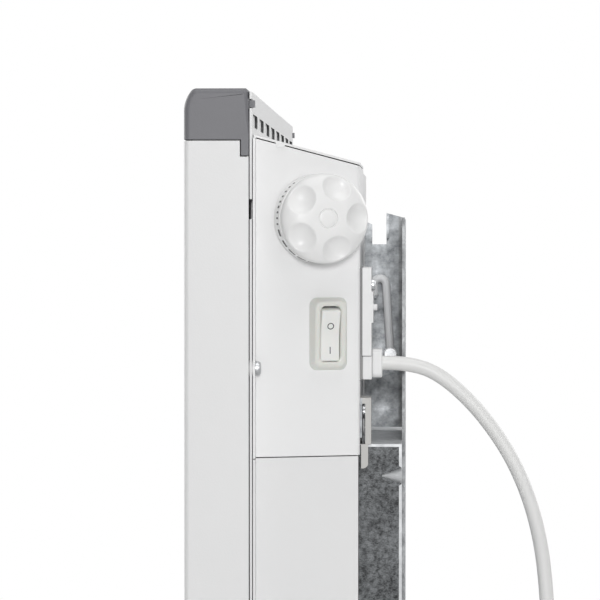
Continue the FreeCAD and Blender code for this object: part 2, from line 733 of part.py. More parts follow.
def control_top():
    """Sloping lid sheet of the control box, with a half-round tab on the slanted side."""
    plan = [(CONTROL_LEFT_X, Y_CASE_FRONT), (side_x(Y_CASE_FRONT, 0), Y_CASE_FRONT),
            (side_x(Y_CONTROL_REAR, 0), Y_CONTROL_REAR), (CONTROL_LEFT_X, Y_CONTROL_REAR)]
    section = [(Y_CASE_FRONT, top_z(Y_CASE_FRONT, 0)), (Y_CONTROL_REAR, top_z(Y_CONTROL_REAR, 0)),
               (Y_CONTROL_REAR, top_z(Y_CONTROL_REAR, SHEET)),
               (Y_CASE_FRONT + SHEET, top_z(Y_CASE_FRONT + SHEET, SHEET)),
               (Y_CASE_FRONT + SHEET, drop(TOP_DROP + LID_FLANGE)),
               (Y_CASE_FRONT, drop(TOP_DROP + LID_FLANGE))]
    sheet = prism_z(plan, drop(SHELF_DROP), Z_TOP).common(prism_x(section, CONTROL_LEFT_X, HALF))
    flange_room = box(side_x(Y_CASE_FRONT + SHEET, SHEET) - JOINT_GAP, HALF, Y_CASE_FRONT - SHEET,
                      Y_CASE_FRONT + 2.0 * SHEET, drop(SHELF_DROP), top_z(Y_CASE_FRONT + 2.0 * SHEET, SHEET))
    sheet = sheet.cut(flange_room)
    fall = Z_TOP - top_z(Y_CASE_FRONT + COVER_TAB_U * math.cos(TILT), 0) + SHEET / 2.0
    disc = Part.makeCylinder(COVER_TAB_R, COVER_TAB_T, Vector(COVER_TAB_U, -fall, 0))
    lower_half = box(COVER_TAB_U - 2.0 * COVER_TAB_R, COVER_TAB_U + 2.0 * COVER_TAB_R,
                     -fall - 2.0 * COVER_TAB_R, -fall, -SHEET, COVER_TAB_T + SHEET)
    return fused([sheet, on_side(disc.common(lower_half))])


# Thermostat

def thermostat_body():
    half_w = THERMOSTAT_W / 2.0
    half_h = THERMOSTAT_H / 2.0
    case = box(KNOB_U - half_w, KNOB_U + half_w, -KNOB_DROP - half_h, -KNOB_DROP + half_h,
               -SHEET - THERMOSTAT_T, -SHEET)
    bush = Part.makeCylinder(BUSH_R, SHEET + BUSH_OUT, Vector(KNOB_U, -KNOB_DROP, -SHEET))
    bore = Part.makeCylinder(SPINDLE_R + RUN_CLEARANCE, SPINDLE_IN + BUSH_OUT + 2.0 * SHEET,
                             Vector(KNOB_U, -KNOB_DROP, -SPINDLE_IN - SHEET))
    blades = []
    for offset in (-0.25, 0.25):
        x = KNOB_U + offset * THERMOSTAT_W
        blades.append(box(x - SHEET / 2.0, x + SHEET / 2.0,
                          -KNOB_DROP - BLADE_W / 2.0, -KNOB_DROP + BLADE_W / 2.0,
                          -SHEET - THERMOSTAT_T - BLADE_LENGTH, -SHEET - THERMOSTAT_T))
    return on_side(fused([case, bush] + blades).cut(bore))


def thermostat_nut():
    radius = NUT_FLATS / 2.0 / math.cos(math.pi / 6.0)
    corners = []
    for index in range(6):
        angle = index * math.pi / 3.0
        corners.append((KNOB_U + radius * math.cos(angle), -KNOB_DROP + radius * math.sin(angle)))
    hexagon = prism_z(corners, 0, NUT_T)
    hole = Part.makeCylinder(BUSH_R + RUN_CLEARANCE, 3.0 * NUT_T, Vector(KNOB_U, -KNOB_DROP, -NUT_T))
    return on_side(hexagon.cut(hole))


def thermostat_spindle():
    inner_end = Vector(KNOB_U, -KNOB_DROP, -SPINDLE_IN)
    return on_side(Part.makeCylinder(SPINDLE_R, SPINDLE_IN + SPINDLE_OUT, inner_end))


def thermostat_knob():
    """Round knob: hollow skirt, domed crown with finger dimples, hub on the spindle."""
    base = KNOB_LIFT
    shoulder = KNOB_LIFT + KNOB_SKIRT
    edge_r = KNOB_R - KNOB_WALL
    crest = shoulder + KNOB_CROWN
    groove_r = KNOB_DISC_R + KNOB_GROOVE
    skirt = [Vector(0, 0, base), Vector(KNOB_R, 0, base), Vector(KNOB_R, 0, shoulder)]
    bend = Vector(KNOB_R - 0.3 * KNOB_WALL, 0, shoulder + 0.3 * KNOB_CROWN)
    rim = Vector(edge_r, 0, shoulder + 0.5 * KNOB_CROWN)
    crown_mid = Vector((edge_r + groove_r) / 2.0, 0, shoulder + 0.88 * KNOB_CROWN)
    centre = [Vector(groove_r, 0, crest), Vector(groove_r, 0, crest - KNOB_GROOVE),
              Vector(KNOB_DISC_R, 0, crest - KNOB_GROOVE), Vector(KNOB_DISC_R, 0, crest), Vector(0, 0, crest)]
    edges = [Part.Arc(skirt[-1], bend, rim).toShape(), Part.Arc(rim, crown_mid, centre[0]).toShape()]
    straight = list(zip(skirt, skirt[1:])) + list(zip(centre, centre[1:])) + [(centre[-1], skirt[0])]
    edges += [Part.LineSegment(first, last).toShape() for first, last in straight]
    outline = Part.Wire(Part.sortEdges(edges)[0])
    solid = Part.Face(outline).revolve(Vector(0, 0, 0), Vector(0, 0, 1), 360)
    hollow_top = shoulder - 2.0 * KNOB_WALL
    ring = Part.makeCylinder(KNOB_R - KNOB_WALL, hollow_top)
    ring = ring.cut(Part.makeCylinder(KNOB_HUB_R, hollow_top, Vector(0, 0, BUSH_OUT + JOINT_GAP)))
    bore = Part.makeCylinder(SPINDLE_R + RUN_CLEARANCE / 2.0, SPINDLE_OUT)
    knob = solid.cut(ring).cut(bore)
    for index in range(DIMPLE_COUNT):
        angle = 2.0 * math.pi * index / DIMPLE_COUNT
        centre = Vector(DIMPLE_PCD_R * math.cos(angle), DIMPLE_PCD_R * math.sin(angle), DIMPLE_HEIGHT)
        knob = knob.cut(Part.makeSphere(DIMPLE_R, centre))
    knob.translate(Vector(KNOB_U, -KNOB_DROP, 0))
    return on_side(knob.Solids[0])


# Rocker switch

def switch_collar():
    base = rounded_rectangle(COLLAR_W, COLLAR_H, COLLAR_CORNER_R, SWITCH_U, -SWITCH_DROP, 0)
    top = rounded_rectangle(COLLAR_W - 2.0 * COLLAR_DRAFT, COLLAR_H - 2.0 * COLLAR_DRAFT,
                            COLLAR_CORNER_R - COLLAR_DRAFT, SWITCH_U, -SWITCH_DROP, COLLAR_T)
    block = Part.makeLoft([base, top], True, True)
    opening = box(SWITCH_U - ROCKER_W / 2.0 - ROCKER_GAP, SWITCH_U + ROCKER_W / 2.0 + ROCKER_GAP,
                  -SWITCH_DROP - ROCKER_H / 2.0 - 2.0 * ROCKER_GAP,
                  -SWITCH_DROP + ROCKER_H / 2.0 + 2.0 * ROCKER_GAP, -COLLAR_T, 2.0 * COLLAR_T)
    return on_side(block.cut(opening))


def switch_body():
    half_w = SWITCH_BODY_W / 2.0
    half_h = SWITCH_BODY_H / 2.0
    case = box(SWITCH_U - half_w, SWITCH_U + half_w, -SWITCH_DROP - half_h, -SWITCH_DROP + half_h,
               -SWITCH_BODY_T, 0)
    pocket = box(SWITCH_U - ROCKER_W / 2.0 - ROCKER_GAP, SWITCH_U + ROCKER_W / 2.0 + ROCKER_GAP,
                 -SWITCH_DROP - half_h + SWITCH_WALL, -SWITCH_DROP + half_h - SWITCH_WALL,
                 -SWITCH_BODY_T + SWITCH_WALL, SHEET)
    bore_start = Vector(SWITCH_U - half_w + RUN_CLEARANCE, -SWITCH_DROP, -ROCKER_PIVOT_DEPTH - PIVOT_R)
    bore = Part.makeCylinder(PIVOT_R + RUN_CLEARANCE, SWITCH_BODY_W - 2.0 * RUN_CLEARANCE, bore_start,
                             Vector(1, 0, 0))
    blades = []
    for offset in (-0.3, 0.0, 0.3):
        y = -SWITCH_DROP + offset * SWITCH_BODY_H
        blades.append(box(SWITCH_U - BLADE_W / 2.0, SWITCH_U + BLADE_W / 2.0,
                          y - SHEET / 2.0, y + SHEET / 2.0, -SWITCH_BODY_T - BLADE_LENGTH, -SWITCH_BODY_T))
    return on_side(fused([case.cut(pocket).cut(bore)] + blades))


def switch_rocker():
    """Dished rocker on its two pivot stubs, shown with its lower end pressed in."""
    half = ROCKER_H / 2.0
    pivot = -ROCKER_PIVOT_DEPTH - PIVOT_R
    outline = [(-half, ROCKER_PROUD - ROCKER_DISH), (0.0, ROCKER_PROUD - 2.0 * ROCKER_DISH),
               (half, ROCKER_PROUD - ROCKER_DISH), (half, 0.0), (0.45 * half, pivot - ROCKER_ROOT),
               (-0.45 * half, pivot - ROCKER_ROOT), (-half, 0.0)]
    points = [Vector(-ROCKER_W / 2.0, y, z) for y, z in outline]
    body = Part.Face(Part.makePolygon(points + points[:1])).extrude(Vector(ROCKER_W, 0, 0))
    stub_reach = SWITCH_BODY_W / 2.0 - 4.0 * RUN_CLEARANCE
    stub = rod(Vector(-stub_reach, 0, pivot), Vector(stub_reach, 0, pivot), PIVOT_R)
    rocker = body.fuse(stub).removeSplitter()
    rocker.rotate(Vector(0, 0, pivot), Vector(1, 0, 0), ROCKER_REST_TILT)
    rocker.translate(Vector(SWITCH_U, -SWITCH_DROP, 0))
    return on_side(rocker.Solids[0])


# Mains entry

def entry_base():
    half = ENTRY_COVER_W / 2.0 - ENTRY_BASE_INSET
    top = drop(ENTRY_TOP_DROP + ENTRY_BASE_INSET)
    bottom = drop(ENTRY_TOP_DROP + ENTRY_COVER_H + CLAMP_H)
    plate = box(ENTRY_X - half, ENTRY_X + half, Y_CONTROL_REAR, Y_ENTRY_BASE, bottom, top)
    hole = rod(Vector(ENTRY_X, Y_CONTROL_REAR - SHEET, drop(GLAND_DROP)),
               Vector(ENTRY_X, Y_ENTRY_BASE + SHEET, drop(GLAND_DROP)), CORD_R + JOINT_GAP)
    return plate.cut(hole)


def entry_cover():
    half = ENTRY_COVER_W / 2.0
    rear = Y_ENTRY_BASE + ENTRY_COVER_T
    top = drop(ENTRY_TOP_DROP)
    plate = box(ENTRY_X - half, ENTRY_X + half, Y_ENTRY_BASE, rear, drop(ENTRY_TOP_DROP + ENTRY_COVER_H), top)
    rib_top = entry_screw_z() - SMALL_HEAD_R - JOINT_GAP
    rib = box(ENTRY_X - half, ENTRY_X + half, rear, rear + ENTRY_RIB_T, rib_top - ENTRY_RIB_H, rib_top)
    nub_z = rib_top - ENTRY_RIB_H / 2.0
    nub_x = ENTRY_X + half - 2.0 * ENTRY_NUB_R
    nub = rod(Vector(nub_x, rear, nub_z), Vector(nub_x, rear + ENTRY_RIB_T + ENTRY_NUB_T, nub_z), ENTRY_NUB_R)
    cover = fused([plate, rib, nub])
    hole = rod(Vector(entry_screw_x(), Y_ENTRY_BASE - SHEET, entry_screw_z()),
               Vector(entry_screw_x(), rear + SHEET, entry_screw_z()), SMALL_SCREW_R + RUN_CLEARANCE)
    return cover.cut(hole)


def entry_screw_x():
    """X of the screw in the mains-entry cover."""
    return ENTRY_X + ENTRY_COVER_W / 2.0 - 2.0 * SMALL_HEAD_R


def entry_screw_z():
    """Height of the screw in the mains-entry cover."""
    return drop(ENTRY_TOP_DROP + 3.0 * SMALL_HEAD_R)


def entry_screw():
    seat = Vector(entry_screw_x(), Y_ENTRY_BASE + ENTRY_COVER_T, entry_screw_z())
    return screw(seat, Vector(0, 1, 0), SMALL_HEAD_R, SMALL_HEAD_T, SMALL_SCREW_R, SMALL_SCREW_LENGTH)


def cord_clamp():
    half = ENTRY_COVER_W / 2.0 - ENTRY_BASE_INSET
    top = drop(ENTRY_TOP_DROP + ENTRY_COVER_H + JOINT_GAP / 2.0)
    bottom = drop(ENTRY_TOP_DROP + ENTRY_COVER_H + CLAMP_H)
    return box(ENTRY_X - half, ENTRY_X + half, Y_ENTRY_BASE, Y_ENTRY_BASE + CLAMP_T, bottom, top)


def cable_gland():
    outline = rounded_rectangle(GLAND_W, GLAND_H, 2.0, 0, 0, 0)
    block = Part.Face(outline).extrude(Vector(0, 0, GLAND_T))
    block.rotate(Vector(0, 0, 0), Vector(1, 0, 0), -90)
    block.translate(Vector(ENTRY_X, Y_ENTRY_BASE + CLAMP_T, drop(GLAND_DROP)))
    return block


def terminal_block():
    half = TERMINAL_W / 2.0
    rear = Y_CONTROL_REAR - SHEET
    z = drop(TERMINAL_DROP)
    block = box(TERMINAL_X - half, TERMINAL_X + half, rear - TERMINAL_T, rear,
                z - TERMINAL_H / 2.0, z + TERMINAL_H / 2.0)
    wells = []
    for x in terminal_screw_places():
        mouth = Vector(x, rear - TERMINAL_T - SHEET, z)
        wells.append(rod(mouth, Vector(x, rear - 0.5 * TERMINAL_T, z), SMALL_HEAD_R + JOINT_GAP))
    return block.cut(Part.makeCompound(wells))


def terminal_screw_places():
    """X of each screw in the terminal block."""
    pitch = TERMINAL_W / TERMINAL_COUNT
    return [TERMINAL_X + (index - (TERMINAL_COUNT - 1) / 2.0) * pitch for index in range(TERMINAL_COUNT)]


def terminal_screws():
    seat_y = Y_CONTROL_REAR - SHEET - 0.5 * TERMINAL_T
    z = drop(TERMINAL_DROP)
    heads = []
    for x in terminal_screw_places():
        heads.append(rod(Vector(x, seat_y, z), Vector(x, seat_y - 2.0 * SMALL_HEAD_T, z), SMALL_HEAD_R))
    return Part.makeCompound(heads)


# Heating element

def element_body():
    """Finned aluminium bar round the heating rod."""
    half = ELEMENT_HALF
    z = ELEMENT_Z
    tube = rod(Vector(-half, ELEMENT_Y, z), Vector(half, ELEMENT_Y, z), ELEMENT_TUBE_R)
    pieces = [tube]
    for angle in (45, 135, 225, 315):
        reach = ELEMENT_TUBE_R + FIN_LENGTH
        fin = box(-half, half, 0, reach, -FIN_T / 2.0, FIN_T / 2.0)
        rib_y = ELEMENT_TUBE_R + 0.6 * FIN_LENGTH
        rib = box(-half, half, rib_y, rib_y + FIN_T, -FIN_RIB_LENGTH, FIN_RIB_LENGTH)
        arm = fin.fuse(rib)
        arm.rotate(Vector(0, 0, 0), Vector(1, 0, 0), angle)
        arm.translate(Vector(0, ELEMENT_Y, z))
        pieces.append(arm)
    bore = rod(Vector(-half - SHEET, ELEMENT_Y, z), Vector(half + SHEET, ELEMENT_Y, z),
               ELEMENT_ROD_R + ELEMENT_ROD_GAP)
    return fused(pieces).cut(bore)


def element_rod():
    half = ELEMENT_HALF + ELEMENT_ROD_OVERHANG
    z = ELEMENT_Z
    return rod(Vector(-half, ELEMENT_Y, z), Vector(half, ELEMENT_Y, z), ELEMENT_ROD_R)


def element_terminals():
    end = ELEMENT_HALF + ELEMENT_ROD_OVERHANG
    z = ELEMENT_Z
    pins = []
    for side in (-1, 1):
        pins.append(rod(Vector(side * end, ELEMENT_Y, z),
                        Vector(side * (end + TERMINAL_PIN_LENGTH), ELEMENT_Y, z), TERMINAL_PIN_R))
    return Part.makeCompound(pins)


def element_bracket():
    """Angle bracket on the casing's rear wall that carries one end of the rod."""
    x = ELEMENT_HALF + ELEMENT_BRACKET_OVERHANG
    rear = Y_LOWER_REAR - SHEET
    z = ELEMENT_Z
    half_h = ELEMENT_BRACKET_H / 2.0
    front = ELEMENT_Y - 2.0 * ELEMENT_ROD_R
    web = box(x, x + ELEMENT_BRACKET_T, front, rear, z - half_h, z + half_h)
    foot = box(x, x + ELEMENT_BRACKET_FOOT, rear - ELEMENT_BRACKET_T, rear, z - half_h, z + half_h)
    hole = rod(Vector(x - 1.0, ELEMENT_Y, z), Vector(x + ELEMENT_BRACKET_T + 1.0, ELEMENT_Y, z),
               ELEMENT_ROD_R + ELEMENT_ROD_GAP)
    return fused([web, foot]).cut(hole)


def heat_shield():
    """Bent sheet that keeps the element's heat off the casing's rear wall."""
    rear = Y_LOWER_REAR - SHEET
    face = rear - SHIELD_STAND_OFF
    z = ELEMENT_Z
    half = SHIELD_HEIGHT / 2.0
    t = SHIELD_T
    outline = [(rear, z - half - SHIELD_FOOT), (rear, z - half), (face, z - half), (face, z + half),
               (rear, z + half), (rear, z + half + SHIELD_FOOT), (rear - t, z + half + SHIELD_FOOT),
               (rear - t, z + half + t),
               (face - t, z + half + t), (face - t, z - half - t), (rear - t, z - half - t),
               (rear - t, z - half - SHIELD_FOOT)]
    return prism_x(outline, -HALF + SHIELD_END_GAP, HALF - SHIELD_END_GAP)


def overheat_cutout():
    """Bimetal disc limiter on an eared plate, with two blade terminals."""
    rear = Y_LOWER_REAR - SHEET
    z = Z_BOTTOM + CUTOUT_RISE
    plate = box(CUTOUT_X - CUTOUT_EAR / 2.0, CUTOUT_X + CUTOUT_EAR / 2.0, rear - SHEET, rear,
                z - 0.6 * CUTOUT_R, z + 0.6 * CUTOUT_R)
    body = rod(Vector(CUTOUT_X, rear, z), Vector(CUTOUT_X, rear - CUTOUT_T, z), CUTOUT_R)
    blades = []
    for side in (-1, 1):
        x = CUTOUT_X + side * 0.5 * CUTOUT_R
        blades.append(box(x - SHEET / 2.0, x + SHEET / 2.0, rear - CUTOUT_T - BLADE_LENGTH, rear - CUTOUT_T,
                          z - BLADE_W / 2.0, z + BLADE_W / 2.0))
    return fused([plate, body] + blades)


# Wall bracket

def wall_holes(y0, y1):
    """Round holes for the wall screws, between two distances from the wall."""
    holes = []
    for sx in (-1, 1):
        for sz in (-1, 1):
            x = sx * WALL_HOLE_X
            z = sz * SCREW_PITCH_Z / 2.0
            holes.append(rod(Vector(x, y0, z), Vector(x, y1, z), WALL_HOLE_R))
    return Part.makeCompound(holes)


def rivet_places():
    """X and Z of the rivets that join the rail to the uprights."""
    x = (UPRIGHT_X + WALL_HOLE_X) / 2.0
    return [(side * x, drop(fall)) for side in (-1, 1) for fall in RIVET_DROPS]


def bracket_upright(lip):
    """Folded upright: wall strip, deep web with the open hanging notch, front flange.

    The notch is closed to the front by a lip where one is asked for.
    """
    t = BRACKET_SHEET
    web_bottom = drop(RAIL_TOP_DROP - RAIL_GAP)
    post_front = -POST_DEPTH
    notch_front = post_front - NOTCH_WIDTH
    notch_bottom = drop(UPRIGHT_TOP_DROP + NOTCH_DEPTH)
    outline = [(0, web_bottom), (0, drop(UPRIGHT_TOP_DROP + UPRIGHT_TOP_FALL)),
               (post_front, drop(UPRIGHT_TOP_DROP)), (post_front, notch_bottom)]
    if lip:
        outline += [(notch_front, notch_bottom), (notch_front, drop(LIP_TOP_DROP + LIP_TOP_FALL)),
                    (Y_BRACKET_FRONT, drop(LIP_TOP_DROP))]
    else:
        outline.append((Y_BRACKET_FRONT, notch_bottom))
    outline.append((Y_BRACKET_FRONT, web_bottom))
    web = prism_x(outline, UPRIGHT_X, UPRIGHT_X + t)
    strip = box(UPRIGHT_X, UPRIGHT_OUTER_X, -t, 0, drop(RAIL_BOTTOM_DROP),
                drop(UPRIGHT_TOP_DROP + UPRIGHT_TOP_FALL))
    post_flange = box(UPRIGHT_X, UPRIGHT_X + t + POST_FLANGE, post_front, post_front + t,
                      drop(UPRIGHT_TOP_DROP + POST_FLANGE_H), drop(UPRIGHT_TOP_DROP + t))
    front_flange = box(UPRIGHT_X - FRONT_FLANGE, UPRIGHT_X, Y_BRACKET_FRONT, Y_BRACKET_FRONT + t,
                       web_bottom, notch_bottom)
    upright = fused([web, strip, post_flange, front_flange])
    pin_z = drop(LEVER_PIVOT_DROP)
    pin_start = Vector(UPRIGHT_X - t, LEVER_PIVOT_Y, pin_z)
    pin_hole = rod(pin_start, pin_start + Vector(3.0 * t, 0, 0), LATCH_PIN_R + RUN_CLEARANCE / 2.0)
    holes = [wall_holes(-2.0 * t, t), pin_hole]
    for x, z in rivet_places():
        holes.append(rod(Vector(x, -2.0 * t, z), Vector(x, t, z), RIVET_R + RUN_CLEARANCE / 2.0))
    return upright.cut(Part.makeCompound(holes))


def bracket_rail():
    """Wide lower channel that the heater's hooks drop into."""
    t = BRACKET_SHEET
    top = drop(RAIL_TOP_DROP)
    bottom = drop(RAIL_BOTTOM_DROP)
    half = RAIL_HALF - t
    back = box(-half, half, -2.0 * t, -t, bottom, top)
    top_flange = box(-half, half, Y_BRACKET_FRONT, -t, top - t, top)
    bottom_flange = box(-half, half, Y_BRACKET_FRONT, -t, bottom, bottom + t)
    cuts = [wall_holes(-3.0 * t, t)]
    for side in (-1, 1):
        slot_half = HOOK_TONGUE_WIDTH / 2.0 + HOOK_CLEARANCE
        cuts.append(box(side * HOOK_X - slot_half, side * HOOK_X + slot_half,
                        hook_leg_front() - HOOK_CLEARANCE, hook_leg_front() + HOOK_T + HOOK_CLEARANCE,
                        top - 2.0 * t, top + t))
    for x, z in rivet_places():
        cuts.append(rod(Vector(x, -3.0 * t, z), Vector(x, t, z), RIVET_R + RUN_CLEARANCE / 2.0))
    return fused([back, top_flange, bottom_flange]).cut(Part.makeCompound(cuts))


def rail_end():
    """Plate welded to the channel's right end, with its pressed funnel that opens towards the wall."""
    t = BRACKET_SHEET
    plate = box(RAIL_HALF - t, RAIL_HALF, Y_BRACKET_FRONT, -t, drop(RAIL_BOTTOM_DROP), drop(RAIL_TOP_DROP))
    mouth = Vector(RAIL_HALF, -t, drop(LANCE_DROP))
    inward = Vector(0, -1, 0)
    funnel = Part.makeCone(LANCE_R, LANCE_TIP_R, LANCE_LENGTH, mouth, inward)
    outside = box(RAIL_HALF - t, RAIL_HALF + 2.0 * LANCE_R, Y_BRACKET_FRONT, -t,
                  drop(LANCE_DROP + 2.0 * LANCE_R), drop(LANCE_DROP - 2.0 * LANCE_R))
    hollow = Part.makeCone(LANCE_R - t, LANCE_TIP_R / 4.0, LANCE_LENGTH - 2.0 * t, mouth, inward)
    return fused([plate, funnel.common(outside)]).cut(hollow)


def bracket_rivets():
    rivets = []
    t = BRACKET_SHEET
    for x, z in rivet_places():
        shank = rod(Vector(x, -2.0 * t, z), Vector(x, 0, z), RIVET_R)
        head = rod(Vector(x, -2.0 * t - RIVET_HEAD_T, z), Vector(x, -2.0 * t, z), RIVET_HEAD_R)
        rivets.append(shank.fuse(head).removeSplitter())
    return Part.makeCompound(rivets)


# Hooks and latches

def hook_leg_front():
    """Front face of the hook's leg, behind the rail's front edge."""
    return Y_BRACKET_FRONT + HOOK_LIP + HOOK_CLEARANCE


def hanger_hook(rear):
    """Hook whose foot sits on a rear face: its shoulder rests on the rail, its tongue drops through the slot.

    Its rounded ear hangs outside the rail's end and keeps the heater from sliding along.
    """
    top = drop(HOOK_TOP_DROP)
    shoulder = drop(RAIL_TOP_DROP)
    bottom = drop(HOOK_BOTTOM_DROP)
    leg = hook_leg_front()
    half = HOOK_WIDTH / 2.0
    tongue = HOOK_TONGUE_WIDTH / 2.0
    ear_x = RAIL_HALF + HOOK_CLEARANCE
    ear_rear = leg + HOOK_T / 2.0
    ear = box(ear_x, HOOK_X + half, Y_BRACKET_FRONT, ear_rear, bottom, shoulder)
    corner = edges_along_x(ear, ear_rear, bottom)
    pieces = [box(HOOK_X - half, HOOK_X + half, leg, leg + HOOK_T, shoulder, top),
              box(HOOK_X - half, HOOK_X + half, rear, leg + HOOK_T, top - HOOK_T, top),
              box(HOOK_X - half, HOOK_X + half, rear, rear + HOOK_FOOT_T, top - HOOK_FOOT, top),
              box(HOOK_X - tongue, HOOK_X + tongue, leg, leg + HOOK_T, bottom, shoulder),
              ear.makeFillet(HOOK_EAR_R, corner)]
    return fused(pieces)


def lever_points():
    """Pivot, both ends of the bend and tip of the right latch lever, on the wire's middle."""
    pivot = Vector(LEVER_X, LEVER_PIVOT_Y, drop(LEVER_PIVOT_DROP))
    bend = Vector(LEVER_X, LEVER_PIVOT_Y - LEVER_LEAN, drop(LEVER_BEND_DROP))
    along = (bend - pivot).normalize()
    across = Vector(0, -along.z, along.y)
    crest = bend + (across + along) * LEVER_BEND_R
    front = bend + across * (2.0 * LEVER_BEND_R)
    tip = front - along * LEVER_FINGER
    return pivot, bend, crest, front, tip


def latch_tab():
    """Small arm on the casing's rear that the latch lever's tip holds down."""
    x1 = LEVER_X + TAB_WIDTH / 2.0
    x0 = LEVER_X - TAB_WIDTH / 2.0
    tip = lever_points()[-1]
    top = tip.z - TAB_TIP_GAP
    arm = box(x0, x1, Y_UPPER_REAR, tip.y + LEVER_ROD_R / 2.0, top - TAB_T, top)
    foot = box(x1 - TAB_FOOT, x1, Y_UPPER_REAR, Y_UPPER_REAR + TAB_T, top - TAB_FOOT, top)
    return fused([arm, foot])


def latch_lever():
    """Bent wire lever on an eye: its hooked tip stands over the latch tab."""
    pivot, bend, crest, front, tip = lever_points()
    path = Part.Wire([Part.LineSegment(pivot, bend).toShape(), Part.Arc(bend, crest, front).toShape(),
                      Part.LineSegment(front, tip).toShape()])
    ring = Part.Wire([Part.makeCircle(LEVER_ROD_R, pivot, bend - pivot)])
    wire = path.makePipeShell([ring], True, False)
    side = Vector(LEVER_EYE_T / 2.0, 0, 0)
    eye = rod(pivot - side, pivot + side, LEVER_EYE_R)
    hole = rod(pivot - side * 2.0, pivot + side * 2.0, LATCH_PIN_R + RUN_CLEARANCE)
    return fused([wire, eye]).cut(hole)


def latch_pin():
    z = drop(LEVER_PIVOT_DROP)
    head_x = LEVER_X + LEVER_ROD_R + LEVER_SIDE_GAP
    neck = Vector(head_x, LEVER_PIVOT_Y, z)
    shaft = rod(Vector(UPRIGHT_X - BRACKET_SHEET, LEVER_PIVOT_Y, z), neck, LATCH_PIN_R)
    head = rod(neck, neck + Vector(LATCH_PIN_HEAD_T, 0, 0), LATCH_PIN_HEAD_R)
    return fused([shaft, head])


# Mains lead

def arc_through(start, tangent, end):
    """Arc that leaves a point along a direction and ends at another point."""
    chord = end - start
    unit = Vector(chord).normalize()
    sideways = tangent - unit * tangent.dot(unit)
    half_turn = math.atan2(sideways.Length, tangent.dot(unit))
    if sideways.Length < 1e-6:
        return Part.LineSegment(start, end).toShape()
    rise = chord.Length / 2.0 * math.tan(half_turn / 2.0)
    middle = (start + end) * 0.5 + Vector(sideways).normalize() * rise
    return Part.Arc(start, middle, end).toShape()


def biarc(start, leave, end, arrive):
    """Two tangent arcs between two points with given directions."""
    span = end - start
    both = leave + arrive
    a = 2.0 * (1.0 - leave.dot(arrive))
    b = 2.0 * span.dot(both)
    reach = (-b + math.sqrt(b * b + 4.0 * a * span.dot(span))) / (2.0 * a)
    join = (start + end + (leave - arrive) * reach) * 0.5
    second = arc_through(end, arrive.negative(), join)
    return [arc_through(start, leave, join), second]


def rounded_route(points):
    """Straight runs joined by tangent arcs as large as the runs allow; returns edges and radii."""
    edges = []
    radii = []
    last = points[0]
    for before, corner, after in zip(points, points[1:], points[2:]):
        into = (corner - before).normalize()
        out = (after - corner).normalize()
        turn = into.getAngle(out)
        reach = 0.45 * min((corner - before).Length, (after - corner).Length)
        radii.append(reach / math.tan(turn / 2.0))
        begin = corner - into * reach
        finish = corner + out * reach
        edges.append(Part.LineSegment(last, begin).toShape())
        edges.append(arc_through(begin, into, finish))
        last = finish
    edges.append(Part.LineSegment(last, points[-1]).toShape())
    return edges, radii


def tube(edges, start, direction):
    """Round lead along joined edges."""
    path = Part.Wire(edges)
    ring = Part.Wire([Part.makeCircle(CORD_R, start, direction)])
    solid = path.makePipeShell([ring], True, False)
    expected = math.pi * CORD_R ** 2 * path.Length
    print("lead: length %.1f mm, volume %.0f mm3, section times length %.0f mm3"
          % (path.Length, solid.Volume, expected))
    return solid


def cord_points():
    """Corners of the hanging lead's route, from the gland to the coil."""
    start = Vector(ENTRY_X, Y_GLAND_END, drop(GLAND_DROP))
    return [start] + [Vector(ENTRY_X, y, drop(fall)) for y, fall in CORD_ROUTE]


def power_cord():
    points = cord_points()
    edges, radii = rounded_route(points)
    print("lead bend radii, mm:", [round(radius, 1) for radius in radii])
    return tube(edges, points[0], points[1] - points[0])


def coil_start():
    """Point where the hanging lead ends and the coil begins."""
    return cord_points()[-1]


def coil_edges():
    """Path of the coil: a straight run down, round turns as pairs of arcs, and the straight tail."""
    start = coil_start()
    straight = 2.0 * CORD_R
    down = Vector(0, 0, -1)
    top = start + down * straight
    centre = top - Vector(COIL_R, 0, 0)
    quarters = 4 * COIL_TURNS
    points = []
    tangents = []
    for index in range(quarters + 1):
        angle = index * math.pi / 2.0
        points.append(centre + Vector(COIL_R * math.cos(angle), -COIL_PITCH * index / 4.0,
                                      -COIL_R * math.sin(angle)))
        step = Vector(-math.sin(angle) * COIL_R, -COIL_PITCH / (2.0 * math.pi), -math.cos(angle) * COIL_R)
        tangents.append(step.normalize())
    tangents[0] = Vector(down)
    tangents[-1] = Vector(down)
    edges = [Part.LineSegment(start, points[0]).toShape()]
    for index in range(quarters):
        edges += biarc(points[index], tangents[index], points[index + 1], tangents[index + 1])
    edges.append(Part.LineSegment(points[-1], points[-1] + down * TAIL_LENGTH).toShape())
    return edges


def cord_coil():
    edges = coil_edges()
    samples = []
    travelled = 0.0
    for edge in edges:
        count = max(4, int(edge.Length / 2.0))
        pieces = edge.discretize(count)
        if samples and (pieces[0] - samples[-1][1]).Length > (pieces[-1] - samples[-1][1]).Length:
            pieces = pieces[::-1]
        for index, point in enumerate(pieces):
            samples.append((travelled + edge.Length * index / (count - 1), point))
        travelled += edge.Length
    least = min((p - q).Length for i, (s, p) in enumerate(samples) for t, q in samples[i:] if t - s > COIL_R)
    print("coil: least gap to itself %.2f mm" % (least - 2.0 * CORD_R))
    return tube(edges, coil_start(), Vector(0, 0, -1))


